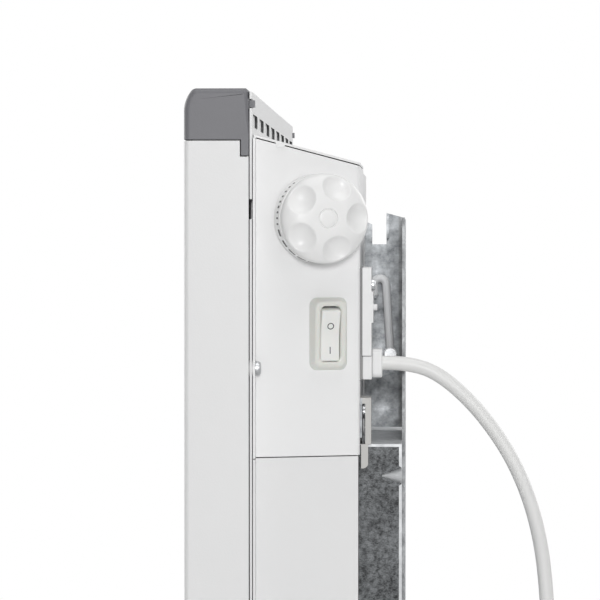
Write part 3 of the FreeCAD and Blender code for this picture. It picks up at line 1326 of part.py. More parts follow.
def cord_tie():
    """Flat band round all turns of the coil."""
    start = coil_start()
    middle_z = start.z - 2.0 * CORD_R
    x = start.x - 2.0 * COIL_R
    near = start.y - 0.5 * COIL_PITCH + CORD_R + TIE_CLEARANCE
    far = start.y - (COIL_TURNS - 0.5) * COIL_PITCH - CORD_R - TIE_CLEARANCE
    half = CORD_R + TIE_CLEARANCE
    outer = box(x - half - TIE_T, x + half + TIE_T, far - TIE_T, near + TIE_T,
                middle_z - TIE_HEIGHT / 2.0, middle_z + TIE_HEIGHT / 2.0)
    inner = box(x - half, x + half, far, near, middle_z - TIE_HEIGHT, middle_z + TIE_HEIGHT)
    return outer.cut(inner)


def tail_end():
    """Point where the lead's tail enters the plug."""
    start = coil_start()
    return start + Vector(0, -COIL_TURNS * COIL_PITCH, -2.0 * CORD_R - TAIL_LENGTH)


def mains_plug():
    """Round two-pin plug body hanging from the tail, neck upwards."""
    end = tail_end()
    shoulder = -PLUG_NECK_LENGTH
    base = shoulder - PLUG_LENGTH
    points = [Vector(0, 0, 0), Vector(PLUG_NECK_R, 0, 0), Vector(PLUG_NECK_R + 1.5, 0, shoulder),
              Vector(PLUG_R - PLUG_EDGE_R, 0, shoulder - PLUG_EDGE_R),
              Vector(PLUG_R, 0, shoulder - 3.0 * PLUG_EDGE_R),
              Vector(PLUG_R, 0, base), Vector(0, 0, base)]
    outline = Part.makePolygon(points + points[:1])
    body = Part.Face(outline).revolve(Vector(0, 0, 0), Vector(0, 0, 1), 360)
    body.translate(end)
    return body


def plug_pins():
    end = tail_end()
    base = end.z - PLUG_NECK_LENGTH - PLUG_LENGTH
    pins = []
    for side in (-1, 1):
        x = end.x + side * PLUG_PIN_PITCH / 2.0
        pins.append(rod(Vector(x, end.y, base), Vector(x, end.y, base - PLUG_PIN_LENGTH), PLUG_PIN_R))
    return Part.makeCompound(pins)


def all_nodes():
    """Every piece of the heater under its own name."""
    nodes = {
        "front_panel": front_panel(),
        "end_cap_right": end_cap(),
        "end_cap_left": mirrored(end_cap()),
        "top_grille": top_grille(),
        "back_plate": back_plate(),
        "rear_casing": rear_casing(),
        "wire_grommet": wire_grommet(),
        "inlet_grille": inlet_grille(),
        "control_cover": control_cover(),
        "control_top": control_top(),
        "cover_screws": cover_screws(),
        "casing_screws": casing_screws(),
        "thermostat_body": thermostat_body(),
        "thermostat_nut": thermostat_nut(),
        "thermostat_spindle": thermostat_spindle(),
        "thermostat_knob": thermostat_knob(),
        "switch_collar": switch_collar(),
        "switch_body": switch_body(),
        "switch_rocker": switch_rocker(),
        "entry_base": entry_base(),
        "entry_cover": entry_cover(),
        "entry_screw": entry_screw(),
        "cord_clamp": cord_clamp(),
        "cable_gland": cable_gland(),
        "terminal_block": terminal_block(),
        "terminal_screws": terminal_screws(),
        "element_body": element_body(),
        "element_rod": element_rod(),
        "element_terminals": element_terminals(),
        "heat_shield": heat_shield(),
        "overheat_cutout": overheat_cutout(),
        "bracket_rail": bracket_rail(),
        "bracket_rivets": bracket_rivets(),
        "bracket_upright_right": bracket_upright(True),
        "bracket_upright_left": mirrored(bracket_upright(False)),
        "hanger_hook_right": hanger_hook(Y_CONTROL_REAR),
        "hanger_hook_left": mirrored(hanger_hook(Y_UPPER_REAR)),
        "power_cord": power_cord(),
        "cord_coil": cord_coil(),
        "cord_tie": cord_tie(),
        "mains_plug": mains_plug(),
        "plug_pins": plug_pins(),
    }
    paired = {
        "element_bracket": element_bracket(),
        "rail_end": rail_end(),
        "latch_tab": latch_tab(),
        "latch_lever": latch_lever(),
        "latch_pin": latch_pin(),
    }
    for name, shape in paired.items():
        nodes[name + "_right"] = shape
        nodes[name + "_left"] = mirrored(shape)
    return nodes


def main():
    os.makedirs("parts", exist_ok=True)
    for name, shape in all_nodes().items():
        print("%-24s solids %d valid %s volume %.0f"
              % (name, len(shape.Solids), shape.isValid(), shape.Volume))
        shape.exportStep("parts/" + name + ".step")


main()
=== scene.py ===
"""Looks of a wall-hung panel convector heater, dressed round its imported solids."""

import logging
import math
from dataclasses import dataclass
from enum import Enum
from typing import Callable, Sequence

import bmesh
import bpy
from mathutils import Matrix, Vector


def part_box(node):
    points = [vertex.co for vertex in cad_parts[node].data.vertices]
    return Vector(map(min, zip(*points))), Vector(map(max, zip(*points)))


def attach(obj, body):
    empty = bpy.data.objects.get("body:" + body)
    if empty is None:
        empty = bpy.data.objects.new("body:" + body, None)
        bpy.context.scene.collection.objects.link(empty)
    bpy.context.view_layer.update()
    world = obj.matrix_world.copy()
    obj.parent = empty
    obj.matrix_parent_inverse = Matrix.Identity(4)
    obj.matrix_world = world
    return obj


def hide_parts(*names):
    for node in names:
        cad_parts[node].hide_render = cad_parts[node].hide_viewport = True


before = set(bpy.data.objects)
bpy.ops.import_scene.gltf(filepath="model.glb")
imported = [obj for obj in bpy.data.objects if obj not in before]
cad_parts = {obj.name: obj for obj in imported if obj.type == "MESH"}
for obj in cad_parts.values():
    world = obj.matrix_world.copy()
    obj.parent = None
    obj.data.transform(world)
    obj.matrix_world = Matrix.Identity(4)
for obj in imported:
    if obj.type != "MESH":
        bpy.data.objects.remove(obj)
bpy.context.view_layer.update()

LOG = logging.getLogger("convector_heater")
MM = 0.001
TOUCH_MM = 0.01    # Two lengths that differ by less count as the same.
FACING = 0.9       # A face looks along an axis when its normal has more than this along it.
WELD = 1e-6        # Points nearer than this are merged, in metres.
FINE_WELD = 1e-7
Colour = tuple[float, float, float]
Point = tuple[float, float, float]
Profile = list[tuple[float, float]]
Socket = bpy.types.NodeSocket
Shape = bmesh.types.BMesh
Piece = bpy.types.Object
Element = bmesh.types.BMVert | bmesh.types.BMEdge | bmesh.types.BMFace


class Body(Enum):
    """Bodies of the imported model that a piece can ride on."""

    HEATER = "heater"
    KNOB = "knob"
    ROCKER = "rocker"
    RIGHT_LATCH = "right_latch"
    LEFT_LATCH = "left_latch"


class Slot(Enum):
    """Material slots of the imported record."""

    WHITE_PAINT = "white_paint"
    GREY_PLASTIC = "grey_plastic"
    WHITE_PLASTIC = "white_plastic"
    DARK_PLASTIC = "dark_plastic"
    PALE_PLASTIC = "pale_plastic"
    GALVANISED = "galvanised_steel"
    WHITE_WIRE = "white_wire"
    ZINC = "zinc_steel"
    PLAIN_STEEL = "plain_steel"
    BRASS = "brass"
    ALUMINIUM = "element_aluminium"
    PVC = "white_pvc"
    RUBBER = "black_rubber"


# Shared shader effects

NUMBER, VECTOR, COLOUR = "NodeSocketFloat", "NodeSocketVector", "NodeSocketColor"
SURFACE_IN = (("Vector", VECTOR), ("Light", COLOUR), ("Dark", COLOUR), ("Rough Low", NUMBER), ("Rough High", NUMBER))
SURFACE_OUT = (("Color", COLOUR), ("Roughness", NUMBER), ("Height", NUMBER))
NOISE_SPAN = (0.3, 0.7)
MIX_A, MIX_B, MIX_RESULT = 6, 7, 2


class Effect:
    """A shader node group with named inputs and outputs, built once and placed in each material."""

    def __init__(self, name: str, own_inputs: Sequence[tuple[str, str]]) -> None:
        """Makes the group with the sockets that every surface has.

        Args:
            name: Name of the group.
            own_inputs: Name and socket type of each further input.
        """
        self.tree = bpy.data.node_groups.new(name, "ShaderNodeTree")
        for way, sockets in (("INPUT", (*SURFACE_IN, *own_inputs)), ("OUTPUT", SURFACE_OUT)):
            for label, kind in sockets:
                self.tree.interface.new_socket(label, in_out=way, socket_type=kind)
        self.enter = self.tree.nodes.new("NodeGroupInput")
        self.leave = self.tree.nodes.new("NodeGroupOutput")

    def given(self, label: str) -> Socket:
        """Socket that brings one of the group's inputs."""
        return self.enter.outputs[label]

    def feed(self, target: Socket, value: Socket | float | Colour) -> None:
        """Joins an input to a socket, or gives it a plain value.

        Args:
            target: The input.
            value: The socket or the value.
        """
        if isinstance(value, Socket):
            self.tree.links.new(value, target)
        else:
            target.default_value = value

    def node(self, kind: str, inputs: dict[str | int, Socket | float | Colour], **settings: str) -> bpy.types.Node:
        """Adds a node to the group.

        Args:
            kind: Blender's name of the node.
            inputs: What each input is fed, by its name or number.
            settings: Properties of the node.

        Returns:
            The new node.
        """
        made = self.tree.nodes.new(kind)
        for key, value in settings.items():
            setattr(made, key, value)
        for key, value in inputs.items():
            self.feed(made.inputs[key], value)
        return made

    def noise(self, vector: Socket, scale: Socket | float, detail: float, roughness: float = 0.5) -> bpy.types.Node:
        """Adds a noise texture, whose detail is its octaves and roughness the weight of the fine ones."""
        return self.node("ShaderNodeTexNoise",
                         {"Vector": vector, "Scale": scale, "Detail": detail, "Roughness": roughness})

    def stretched(self, vector: Socket, factors: Socket | Colour) -> Socket:
        """Stretches coordinates along the three axes."""
        return self.node("ShaderNodeVectorMath", {0: vector, 1: factors}, operation="MULTIPLY").outputs["Vector"]

    def weighed(self, value: Socket, weight: Socket | float, base: Socket) -> Socket:
        """Adds a weighed value to a base."""
        return self.node("ShaderNodeMath", {0: value, 1: weight, 2: base}, operation="MULTIPLY_ADD").outputs["Value"]

    def ranged(self, value: Socket, span: tuple[float, float], low: Socket | float = 0.0,
               high: Socket | float = 1.0) -> Socket:
        """Maps a noise value from its span onto the range from low to high."""
        return self.node("ShaderNodeMapRange", {"Value": value, "From Min": span[0], "From Max": span[1],
                                                "To Min": low, "To Max": high}).outputs["Result"]

    def lay_out(self, tone: Socket, gloss: Socket, height: Socket, tone_span: tuple[float, float] = NOISE_SPAN,
                gloss_span: tuple[float, float] = NOISE_SPAN) -> "Effect":
        """Ends the group with its colour, roughness and height.

        Args:
            tone: Noise that mixes the two colours.
            gloss: Noise that goes from the low to the high roughness.
            height: The relief.
            tone_span: Values of tone that give the dark and the light colour.
            gloss_span: Values of gloss that give the low and the high roughness.

        Returns:
            The effect itself.
        """
        mix = self.node("ShaderNodeMix", {"Factor": self.ranged(tone, tone_span), MIX_A: self.given("Dark"),
                                          MIX_B: self.given("Light")}, data_type="RGBA")
        rough = self.ranged(gloss, gloss_span, self.given("Rough Low"), self.given("Rough High"))
        for label, value in (("Color", mix.outputs[MIX_RESULT]), ("Roughness", rough), ("Height", height)):
            self.feed(self.leave.inputs[label], value)
        return self


def coat_effect() -> Effect:
    """Builds the clouded colour and fine grain of paint and moulded plastic.

    Returns:
        The effect.
    """
    made = Effect("paint_and_mould_grain", (("Cloud Scale", NUMBER), ("Grain Scale", NUMBER)))
    vector = made.given("Vector")
    cloud = made.noise(vector, made.given("Cloud Scale"), detail=3.0).outputs["Fac"]
    grain = made.noise(vector, made.given("Grain Scale"), detail=2.0, roughness=0.45).outputs["Fac"]
    return made.lay_out(cloud, cloud, grain)


def spangle_effect() -> Effect:
    """Builds the frosty clouds, crystals and fine grain of hot-dip zinc.

    Returns:
        The effect.
    """
    waver_scale, waver_reach = 240.0, (0.005, 0.005, 0.005)
    crystal_scale, crystal_softness, crystal_weight = 150.0, 0.6, 0.16
    made = Effect("zinc_spangle", (("Cloud Scale", NUMBER), ("Grain Scale", NUMBER), ("Grain Weight", NUMBER)))
    vector, weight = made.given("Vector"), made.given("Grain Weight")
    waver = made.noise(vector, waver_scale, detail=3.0).outputs["Color"]
    shifted = made.node("ShaderNodeVectorMath", {0: waver, 1: waver_reach, 2: vector}, operation="MULTIPLY_ADD")
    crystals = made.node("ShaderNodeTexVoronoi", {"Vector": shifted.outputs["Vector"], "Scale": crystal_scale,
                                                  "Smoothness": crystal_softness}, feature="SMOOTH_F1")
    tones = made.node("ShaderNodeSeparateColor", {"Color": crystals.outputs["Color"]}).outputs
    cloud = made.noise(vector, made.given("Cloud Scale"), detail=4.0, roughness=0.6).outputs["Fac"]
    drawn = made.stretched(vector, (0.5, 0.5, 1.0))
    grain = made.noise(drawn, made.given("Grain Scale"), detail=3.0, roughness=0.6).outputs["Fac"]
    frost = made.weighed(tones["Red"], crystal_weight, cloud)
    level = made.weighed(weight, -0.5, made.weighed(grain, weight, frost))
    return made.lay_out(level, tones["Green"], level, tone_span=(0.34, 0.82), gloss_span=(0.0, 1.0))


def brushed_effect() -> Effect:
    """Builds the drawn streaks of turned, rolled and plated metal.

    Returns:
        The effect.
    """
    made = Effect("drawn_metal", (("Stretch", VECTOR),))
    drawn = made.stretched(made.given("Vector"), made.given("Stretch"))
    streak = made.noise(drawn, 1.0, detail=4.0, roughness=0.6).outputs["Fac"]
    return made.lay_out(streak, streak, streak)


COAT = coat_effect()
SPANGLE = spangle_effect()
BRUSHED = brushed_effect()


# Finishes

SUBSURFACE_MM = 2.0


def set_inputs(node: bpy.types.Node, values: dict[str, object]) -> None:
    """Gives inputs of a node their plain values."""
    for key, value in values.items():
        node.inputs[key].default_value = value


@dataclass(frozen=True)
class Finish:
    """A surface: its two tones, its gloss, its relief and the effect that lays them out."""

    name: str
    slot: Slot
    light: Colour
    dark: Colour
    rough: tuple[float, float]
    relief_mm: float
    metallic: float = 0.0
    coat: float = 0.0
    subsurface: float = 0.0

    @property
    def effect(self) -> Effect:
        """Effect that lays out the surface."""
        return COAT

    def settings(self) -> dict[str, object]:
        """Values of the effect's own inputs."""
        return {}

    def material(self) -> bpy.types.Material:
        """Builds the material the first time it is asked for.

        Returns:
            The material of this finish.
        """
        found = bpy.data.materials.get(self.name)
        if found is not None:
            return found
        made = bpy.data.materials.new(self.name)
        made.use_nodes = True
        made.diffuse_color = (*self.light, 1.0)
        tree = made.node_tree
        shader = tree.nodes["Principled BSDF"]
        place = tree.nodes.new("ShaderNodeTexCoord")
        group = tree.nodes.new("ShaderNodeGroup")
        group.node_tree = self.effect.tree
        bump = tree.nodes.new("ShaderNodeBump")
        set_inputs(group, {"Light": (*self.light, 1.0), "Dark": (*self.dark, 1.0), "Rough Low": self.rough[0],
                           "Rough High": self.rough[1], **self.settings()})
        set_inputs(bump, {"Strength": 1.0, "Distance": self.relief_mm * MM})
        set_inputs(shader, {"Metallic": self.metallic, "Coat Weight": self.coat,
                            "Subsurface Weight": self.subsurface, "Subsurface Scale": SUBSURFACE_MM * MM})
        for source, target in ((place.outputs["Object"], group.inputs["Vector"]),
                               (group.outputs["Color"], shader.inputs["Base Color"]),
                               (group.outputs["Roughness"], shader.inputs["Roughness"]),
                               (group.outputs["Height"], bump.inputs["Height"]),
                               (bump.outputs["Normal"], shader.inputs["Normal"])):
            tree.links.new(source, target)
        return made


@dataclass(frozen=True)
class CoatFinish(Finish):
    """Powder coat, moulded plastic, rubber or a cable's sheath."""

    cloud_scale: float = 9.0
    grain_scale: float = 900.0

    def settings(self) -> dict[str, object]:
        """Values of the effect's own inputs."""
        return {"Cloud Scale": self.cloud_scale, "Grain Scale": self.grain_scale}


@dataclass(frozen=True)
class ZincSheetFinish(Finish):
    """Hot-dip galvanised sheet with its spangle."""

    cloud_scale: float = 230.0
    grain_scale: float = 1500.0
    grain_weight: float = 0.25

    @property
    def effect(self) -> Effect:
        """Effect that lays out the surface."""
        return SPANGLE

    def settings(self) -> dict[str, object]:
        """Values of the effect's own inputs."""
        return {"Cloud Scale": self.cloud_scale, "Grain Scale": self.grain_scale, "Grain Weight": self.grain_weight}


@dataclass(frozen=True)
class MetalFinish(Finish):
    """Drawn, turned or plated metal with streaks along one axis."""

    stretch: Colour = (300.0, 2500.0, 2500.0)

    @property
    def effect(self) -> Effect:
        """Effect that lays out the surface."""
        return BRUSHED

    def settings(self) -> dict[str, object]:
        """Values of the effect's own inputs."""
        return {"Stretch": self.stretch}


POWDER_COAT = CoatFinish("white_powder_coat", Slot.WHITE_PAINT, (0.79, 0.79, 0.79), (0.768, 0.769, 0.772),
                         (0.36, 0.46), 0.03, grain_scale=1100.0)
# Brighter copy of the white powder coat: painted light on the control box's slanted side and lid.
LIT_COVER_COAT = CoatFinish("white_cover_coat_with_painted_light", Slot.WHITE_PAINT, (0.85, 0.85, 0.85), (0.828, 0.829, 0.832),
                        (0.36, 0.46), 0.03, grain_scale=1100.0)
CAP_PLASTIC = CoatFinish("grey_cap_plastic", Slot.GREY_PLASTIC, (0.168, 0.168, 0.18), (0.152, 0.152, 0.164),
                         (0.44, 0.54), 0.035, grain_scale=1900.0)
KNOB_PLASTIC = CoatFinish("white_knob_plastic", Slot.WHITE_PLASTIC, (0.85, 0.85, 0.846), (0.83, 0.83, 0.827),
                          (0.34, 0.42), 0.012, coat=0.08, grain_scale=2300.0)
BOOT_PLASTIC = CoatFinish("switch_boot_plastic", Slot.WHITE_PLASTIC, (0.75, 0.757, 0.715), (0.715, 0.722, 0.68),
                          (0.3, 0.4), 0.01, coat=0.12, subsurface=0.08, grain_scale=1700.0)
# Brighter copy of the boot plastic: painted light on the rocker.
LIT_ROCKER_PLASTIC = CoatFinish("switch_rocker_plastic_with_painted_light", Slot.WHITE_PLASTIC, (0.85, 0.853, 0.83), (0.82, 0.823, 0.8),
                            (0.3, 0.4), 0.01, coat=0.12, subsurface=0.08, grain_scale=1700.0)
ENTRY_PLASTIC = CoatFinish("white_entry_plastic", Slot.WHITE_PLASTIC, (0.79, 0.79, 0.79), (0.765, 0.767, 0.77),
                           (0.36, 0.46), 0.02, grain_scale=1500.0)
# Dark grey painted shade on the white entry base, standing for the shaded seam under the cover.
SHADED_ENTRY_BASE = CoatFinish("painted_shade_entry_base", Slot.WHITE_PLASTIC, (0.27, 0.27, 0.268), (0.24, 0.24, 0.24),
                          (0.46, 0.56), 0.02, grain_scale=1500.0)
MARK_INK = CoatFinish("grey_mark_ink", Slot.DARK_PLASTIC, (0.075, 0.075, 0.08), (0.05, 0.05, 0.055),
                      (0.5, 0.6), 0.01, grain_scale=4000.0)
DARK_PLASTIC = CoatFinish("dark_moulded_plastic", Slot.DARK_PLASTIC, (0.035, 0.035, 0.037), (0.022, 0.022, 0.024),
                          (0.42, 0.56), 0.03, grain_scale=1600.0)
PALE_PLASTIC = CoatFinish("pale_terminal_plastic", Slot.PALE_PLASTIC, (0.72, 0.69, 0.6), (0.66, 0.63, 0.54),
                          (0.4, 0.52), 0.02, grain_scale=1600.0)
PVC = CoatFinish("white_cable_pvc", Slot.PVC, (0.77, 0.77, 0.76), (0.745, 0.745, 0.738),
                 (0.34, 0.44), 0.02, grain_scale=1300.0, cloud_scale=25.0)
RUBBER = CoatFinish("black_grommet_rubber", Slot.RUBBER, (0.02, 0.02, 0.02), (0.012, 0.012, 0.012),
                    (0.6, 0.75), 0.04, grain_scale=1200.0)
LEVER_COAT = CoatFinish("white_dipped_wire", Slot.WHITE_WIRE, (0.9, 0.905, 0.915), (0.85, 0.856, 0.868),
                        (0.4, 0.5), 0.03, grain_scale=700.0)
# Near-black painted shade for the slit behind the panel's lips, the back plate's front and its vent walls.
RECESS_SHADE = CoatFinish("painted_recess_shade", Slot.WHITE_PAINT, (0.07, 0.071, 0.072), (0.05, 0.051, 0.052),
                       (0.5, 0.6), 0.02, grain_scale=1400.0)
# Cream hook tone darkened with painted shade, where the white-painted hook hangs behind the casing.
SHADED_HOOK_COAT = CoatFinish("cream_hook_coat_with_painted_shade", Slot.WHITE_PAINT, (0.53, 0.525, 0.505), (0.5, 0.495, 0.478),
                       (0.36, 0.46), 0.03, grain_scale=1100.0)
GALVANISED = ZincSheetFinish("galvanised_sheet", Slot.GALVANISED, (0.56, 0.58, 0.6), (0.17, 0.18, 0.19),
                             (0.42, 0.6), 0.012, metallic=0.45)
# Darker copy of the zinc sheet: painted shade along the uprights' bend at the wall.
SHADED_BEND_ZINC = ZincSheetFinish("painted_shade_bend_zinc", Slot.GALVANISED, (0.44, 0.45, 0.458), (0.16, 0.165, 0.17),
                            (0.46, 0.62), 0.012, metallic=0.45)
# Darkened copy of the zinc sheet: painted dark reflection on the rail's end plates; the finer spangle is the sheet's
# own.
DARK_REFLECTION_ZINC = ZincSheetFinish("painted_dark_reflection_zinc", Slot.GALVANISED, (0.15, 0.157, 0.163), (0.009, 0.01, 0.011),
                            (0.38, 0.56), 0.012, metallic=0.45, cloud_scale=420.0, grain_scale=2300.0,
                            grain_weight=0.9)
# Lighter copy of the zinc sheet: painted highlights on edges, the rail's top and the end plates' funnels.
HIGHLIGHT_ZINC = ZincSheetFinish("painted_highlight_zinc_edge", Slot.GALVANISED, (0.58, 0.59, 0.6), (0.4, 0.41, 0.42),
                              (0.34, 0.46), 0.006, metallic=0.45)
ZINC = MetalFinish("zinc_plated_screw", Slot.ZINC, (0.6, 0.61, 0.62), (0.4, 0.41, 0.42),
                   (0.24, 0.4), 0.008, metallic=1.0, stretch=(2200.0, 500.0, 2200.0))
STEEL = MetalFinish("plain_turned_steel", Slot.PLAIN_STEEL, (0.56, 0.56, 0.57), (0.4, 0.4, 0.41),
                    (0.28, 0.44), 0.01, metallic=1.0)
BRASS = MetalFinish("nickelled_brass", Slot.BRASS, (0.78, 0.7, 0.5), (0.64, 0.55, 0.36),
                    (0.2, 0.34), 0.006, metallic=1.0, stretch=(2400.0, 2400.0, 300.0))
ALUMINIUM = MetalFinish("extruded_aluminium", Slot.ALUMINIUM, (0.68, 0.69, 0.7), (0.54, 0.55, 0.56),
                        (0.34, 0.5), 0.02, metallic=1.0, stretch=(60.0, 1800.0, 1800.0))
PAPER = CoatFinish("pale_paper", Slot.WHITE_PAINT, (0.86, 0.86, 0.86), (0.84, 0.84, 0.84),
                   (0.7, 0.8), 0.01, cloud_scale=1.5, grain_scale=500.0)


# Making pieces

SIDE_ORIGIN = Vector((0.211, -0.0673, 0.230))
SIDE_TILT = math.radians(17.0)
FLAT_ANGLE = math.radians(0.4)
EASE_ANGLE = math.radians(34.0)
QUARTER_TURN = math.radians(90.0)


def side_place(u_mm: float, drop_mm: float) -> Matrix:
    """Gives the place of a control on the slanted side of the control box.

    Args:
        u_mm: Distance along the side from its front edge.
        drop_mm: Distance below the panel's top.

    Returns:
        A matrix whose X runs along the side, Y up and Z out of it.
    """
    along = Vector((-math.sin(SIDE_TILT), math.cos(SIDE_TILT), 0.0))
    out = Vector((math.cos(SIDE_TILT), math.sin(SIDE_TILT), 0.0))
    turn = Matrix((along, Vector((0.0, 0.0, 1.0)), out)).transposed().to_4x4()
    seat = SIDE_ORIGIN + along * u_mm * MM - Vector((0.0, 0.0, drop_mm * MM))
    return Matrix.Translation(seat) @ turn


def add_object(name: str, data: bpy.types.ID) -> Piece:
    """Puts a new object into the scene.

    Args:
        name: Name of the object.
        data: Its mesh, curve, lamp or camera.

    Returns:
        The object.
    """
    made = bpy.data.objects.new(name, data)
    bpy.context.scene.collection.objects.link(made)
    return made


def add_mesh(name: str, shape: Shape) -> Piece:
    """Puts a shape into the scene as a mesh.

    Args:
        name: Name of the object and its mesh.
        shape: The shape. It is freed.

    Returns:
        The object.
    """
    mesh = bpy.data.meshes.new(name)
    shape.to_mesh(mesh)
    shape.free()
    return add_object(name, mesh)


def dress(piece: Piece, finish: Finish) -> None:
    """Gives a piece one finish all over."""
    piece.data.materials.clear()
    piece.data.materials.append(finish.material())


def dress_faces(piece: Piece, finish: Finish, chosen: Callable[[bpy.types.MeshPolygon], bool]) -> None:
    """Gives some faces of a piece a finish of their own.

    Args:
        piece: The piece.
        finish: Surface of the chosen faces.
        chosen: Tells whether a face is one of them.
    """
    piece.data.materials.append(finish.material())
    for face in piece.data.polygons:
        if chosen(face):
            face.material_index = len(piece.data.materials) - 1


def make_piece(shape: Shape, name: str, finish: Finish, body: Body, stands_for: Sequence[str] = (),
               sharp_deg: float = 40.0, turn_out: bool = True) -> Piece:
    """Turns a finished shape into a piece that rides on a body.

    Args:
        shape: The shape in metres, in the heater's frame. It is freed.
        name: Name of the piece.
        finish: Its surface.
        body: The body that it moves with.
        stands_for: Solids that it stands for.
        sharp_deg: Edges that turn by more than this stay sharp.
        turn_out: Whether to turn all faces outwards.

    Returns:
        The new piece.
    """
    bmesh.ops.remove_doubles(shape, verts=shape.verts, dist=FINE_WELD)
    if turn_out:
        bmesh.ops.recalc_face_normals(shape, faces=shape.faces)
    for face in shape.faces:
        face.smooth = True
    for edge in shape.edges:
        edge.smooth = not edge.is_manifold or edge.calc_face_angle(0.0) < math.radians(sharp_deg)
    piece = add_mesh(name, shape)
    dress(piece, finish)
    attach(piece, body.value)
    if stands_for:
        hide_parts(*stands_for)
    LOG.info("%s rides on %s in %s", name, body.value, finish.name)
    return piece


def merged_copy(node: str) -> Shape:
    """Copies a solid, with its doubles merged and its flat faces joined.

    Args:
        node: Name of the solid.

    Returns:
        The copy.
    """
    shape = bmesh.new()
    shape.from_mesh(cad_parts[node].data)
    bmesh.ops.remove_doubles(shape, verts=shape.verts, dist=WELD)
    bmesh.ops.dissolve_limit(shape, angle_limit=FLAT_ANGLE, verts=shape.verts, edges=shape.edges)
    return shape


def eased(shape: Shape, node: str, finish: Finish, ease_mm: float, segments: int = 2) -> Piece:
    """Makes a shaped copy of a solid into a piece with eased edges, which stands for it.

    Args:
        shape: The copy. It is freed.
        node: Name of the solid.
        finish: Surface of the piece.
        ease_mm: Width of the eased edges.
        segments: Facets across an eased edge.

    Returns:
        The new piece.
    """
    piece = make_piece(shape, node + "_finished", finish, Body.HEATER, [node], sharp_deg=180.0, turn_out=False)
    ease = piece.modifiers.new("eased_edges", "BEVEL")
    ease.width = ease_mm * MM
    ease.segments = segments
    ease.profile = 0.5
    ease.limit_method = "ANGLE"
    ease.angle_limit = EASE_ANGLE
    ease.use_clamp_overlap = True
    level = piece.modifiers.new("level_faces", "WEIGHTED_NORMAL")
    level.mode = "FACE_AREA"
    level.weight = 90
    level.keep_sharp = False
    return piece


def eased_copy(node: str, finish: Finish, ease_mm: float, segments: int = 2) -> Piece:
    """Makes a plain copy of a solid with eased edges."""
    return eased(merged_copy(node), node, finish, ease_mm, segments)


def turned(profile: Profile, steps: int) -> Shape:
    """Turns a profile round the Z axis, as on a lathe.

    Args:
        profile: Radius and height of each point, in millimetres.
        steps: Facets round the axis.

    Returns:
        The turned shape, in metres.
    """
    shape = bmesh.new()
    points = [shape.verts.new((r * MM, 0.0, z * MM)) for r, z in profile]
    edges = [shape.edges.new(pair) for pair in zip(points, points[1:])]
    bmesh.ops.spin(shape, geom=points + edges, cent=(0, 0, 0), axis=(0, 0, 1), angle=2.0 * math.pi,
                   steps=steps, use_merge=True, use_duplicate=False)
    bmesh.ops.remove_doubles(shape, verts=shape.verts, dist=WELD)
    bmesh.ops.recalc_face_normals(shape, faces=shape.faces)
    return shape


def append_shape(target: Shape, source: Shape, place: Matrix) -> None:
    """Moves a shape to its place and adds it to another.

    Args:
        target: The shape that grows.
        source: The shape to add. It is freed.
        place: Where it goes.
    """
    bmesh.ops.transform(source, matrix=place, verts=source.verts)
    carrier = bpy.data.meshes.new("carrier")
    source.to_mesh(carrier)
    source.free()
    target.from_mesh(carrier)
    bpy.data.meshes.remove(carrier)


def picked(geometry: list[Element], kind: type) -> list[Element]:
    """Picks the points, edges or faces out of an operator's result."""
    return [item for item in geometry if isinstance(item, kind)]


def extruded(shape: Shape, faces: list[bmesh.types.BMFace]) -> tuple[list[bmesh.types.BMVert], bmesh.types.BMFace]:
    """Extrudes a region of faces without moving it.

    Args:
        shape: The shape.
        faces: The region.

    Returns:
        Points of the new region, and its first face.
    """
    made = bmesh.ops.extrude_face_region(shape, geom=faces)["geom"]
    return picked(made, bmesh.types.BMVert), picked(made, bmesh.types.BMFace)[0]


def rounded(shape: Shape, chosen: list[Element], width_mm: float, segments: int,
            affect: str = "EDGES") -> None:
    """Rounds edges over, or corners where affect is VERTICES."""
    bmesh.ops.bevel(shape, geom=chosen, offset=width_mm * MM, affect=affect, segments=segments, profile=0.5,
                    material=-1)


def cut_across(shape: Shape, point: Vector, normal: Vector, weld: float = FINE_WELD) -> None:
    """Cuts the faces of a shape where a plane crosses them, and keeps both sides."""
    bmesh.ops.bisect_plane(shape, geom=shape.verts[:] + shape.edges[:] + shape.faces[:], dist=weld,
                           plane_co=point, plane_no=normal)


def sharper(edge: bmesh.types.BMEdge, degrees: float) -> bool:
    """Tells whether two faces meet at an edge and turn by more than an angle."""
    return edge.is_manifold and edge.calc_face_angle(0.0) > math.radians(degrees)


# Casing

